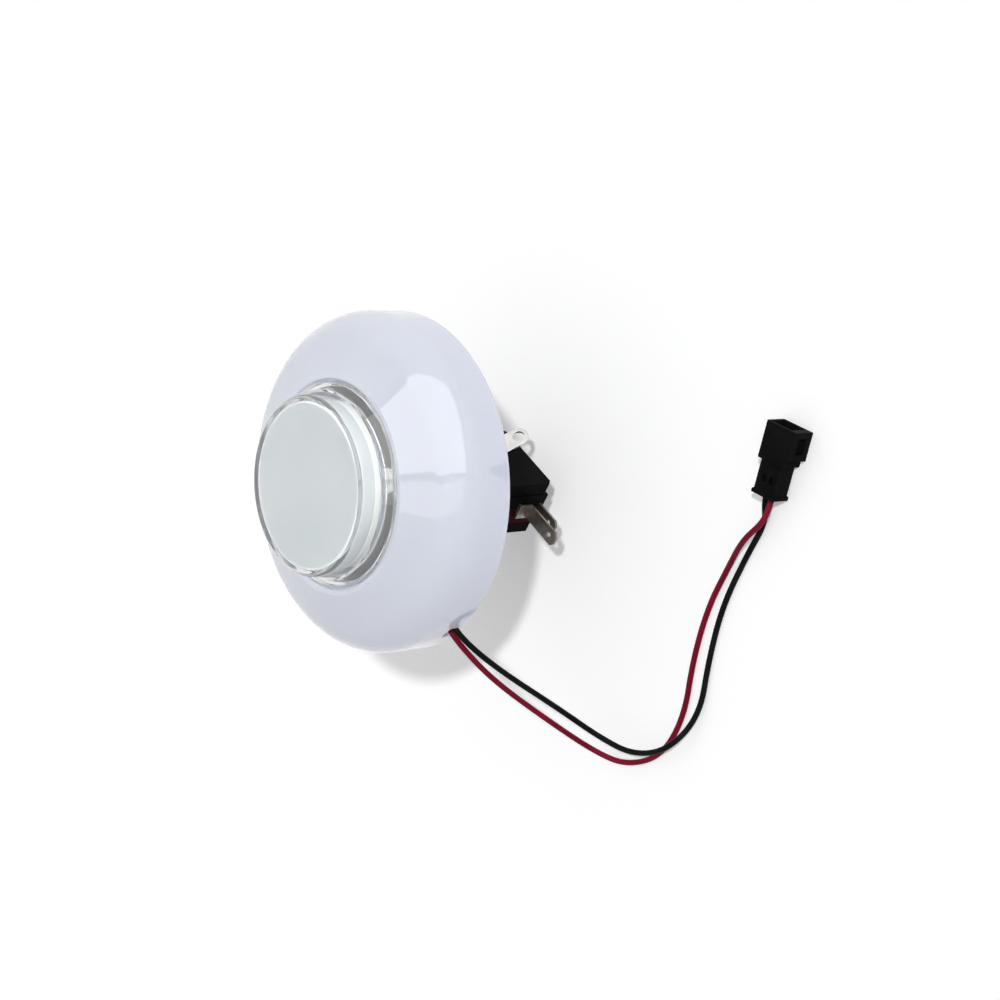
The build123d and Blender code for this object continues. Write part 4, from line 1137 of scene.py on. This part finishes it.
def seen_directly(nodes, links):
    """Mask that is 1 for what the camera sees, plainly, in gloss or through clear plastic."""
    rays = nodes.new("ShaderNodeLightPath")
    seen = rays.outputs["Is Camera Ray"]
    for kind in ("Is Glossy Ray", "Is Transmission Ray"):
        seen = math_node(nodes, links, "MAXIMUM", seen, rays.outputs[kind])
    return seen


def floor_finish():
    """White paper: it takes shadows, and shows a little light of its own to reach plain white."""
    material = bpy.data.materials.new("white_paper")
    material.use_nodes = True
    nodes, links = material.node_tree.nodes, material.node_tree.links
    shader = nodes["Principled BSDF"]
    shader.inputs["Base Color"].default_value = (*PAPER, 1.0)
    shader.inputs["Roughness"].default_value = 0.9
    shader.inputs["Specular IOR Level"].default_value = 0.1
    shader.inputs["Emission Color"].default_value = WHITE
    glow = math_node(nodes, links, "MULTIPLY", seen_directly(nodes, links), PAPER_GLOW)
    links.new(glow, shader.inputs["Emission Strength"])
    return material


floor_mesh = bpy.data.meshes.new("floor")
reach = FLOOR_HALF * MM
level = FLOOR_Z * MM
floor_mesh.from_pydata(
    [(-reach, -reach, level), (reach, -reach, level), (reach, reach, level), (-reach, reach, level)],
    [],
    [(0, 1, 2, 3)],
)
floor_mesh.materials.append(floor_finish())
floor = bpy.data.objects.new("floor", floor_mesh)
bpy.context.scene.collection.objects.link(floor)


def in_view(right, up, back):
    """Place or direction given by its shares along the photograph's right, up and towards the camera."""
    return CAMERA_RIGHT * right + CAMERA_UP * up + CAMERA_BACK * back


WALL_DISTANCE = 700.0
MAIN_STRENGTH = 3.0
MAIN_CORNERS = [
    (-3500, -40),
    (-590, -40),
    (400, 45),
    (500, 475),
    (750, 1415),
    (-475, 985),
    (-2160, 730),
    (-3500, 730),
]
LOW_STRENGTH = 2.1
LOW_CORNERS = [(-3500, -620), (-1320, -355), (225, -215), (340, -5), (-590, -95), (-3500, -110)]


def shown_panel(name, corners, strength):
    """Flat softbox on a wall in front of the button that shows in gloss and in clear plastic alone."""
    places = [in_view(right, up, WALL_DISTANCE) * MM for right, up in corners]
    mesh = bpy.data.meshes.new(name)
    mesh.from_pydata(places, [], [list(range(len(places)))])
    material = bpy.data.materials.new(name)
    material.use_nodes = True
    shader = material.node_tree.nodes["Principled BSDF"]
    shader.inputs["Base Color"].default_value = (0.0, 0.0, 0.0, 1.0)
    shader.inputs["Emission Color"].default_value = WHITE
    shader.inputs["Emission Strength"].default_value = strength
    mesh.materials.append(material)
    panel = bpy.data.objects.new(name, mesh)
    panel.visible_camera = False
    panel.visible_diffuse = False
    panel.visible_shadow = False
    bpy.context.scene.collection.objects.link(panel)


def key_lamp(side, strength, spread):
    """Far lamp on a side of the view that shows in no gloss, with its disc's width in degrees. White
    paper that faces it looks strength bright, which takes pi times as many watts on each square
    metre."""
    data = bpy.data.lights.new("key", "SUN")
    data.energy = math.pi * strength
    data.angle = math.radians(spread)
    lamp = bpy.data.objects.new("key", data)
    lamp.rotation_euler = Vector(in_view(*side)).to_track_quat("Z", "Y").to_euler()
    lamp.visible_glossy = False
    bpy.context.scene.collection.objects.link(lamp)


shown_panel("softbox_main", MAIN_CORNERS, MAIN_STRENGTH)
shown_panel("softbox_low", LOW_CORNERS, LOW_STRENGTH)
key_lamp(KEY_SIDE, KEY_STRENGTH, KEY_SPREAD)


def surround():
    """World that is brighter on the photograph's left and front: level plus swing times the cosine of
    the angle from that side. What the camera sees of it is white."""
    world = bpy.data.worlds.new("surround")
    world.use_nodes = True
    nodes, links = world.node_tree.nodes, world.node_tree.links
    background = nodes["Background"]
    background.inputs["Color"].default_value = WHITE
    way = nodes.new("ShaderNodeTexCoord")
    lean = nodes.new("ShaderNodeVectorMath")
    lean.operation = "DOT_PRODUCT"
    lean.inputs[1].default_value = in_view(*SURROUND_SIDE)
    links.new(way.outputs["Generated"], lean.inputs[0])
    swing = math_node(nodes, links, "MULTIPLY", lean.outputs["Value"], SURROUND_SWING)
    level = math_node(nodes, links, "ADD", swing, SURROUND_LEVEL)
    shown = math_node(nodes, links, "MAXIMUM", level, seen_directly(nodes, links))
    links.new(shown, background.inputs["Strength"])
    return world


bpy.context.scene.world = surround()

camera_data = bpy.data.cameras.new("camera")
camera_data.sensor_width = 36.0
camera_data.lens = LENS
camera_data.clip_start = 0.01
camera_data.clip_end = 50.0
camera = bpy.data.objects.new("camera", camera_data)
stand = np.eye(4)
stand[:3, :3] = np.stack([CAMERA_RIGHT, CAMERA_UP, CAMERA_BACK], 1)
stand[:3, 3] = np.array(CAMERA_PLACE) * MM
camera.matrix_world = Matrix(stand.tolist())
bpy.context.scene.collection.objects.link(camera)
bpy.context.scene.camera = camera
bpy.context.scene.view_settings.view_transform = "Standard"
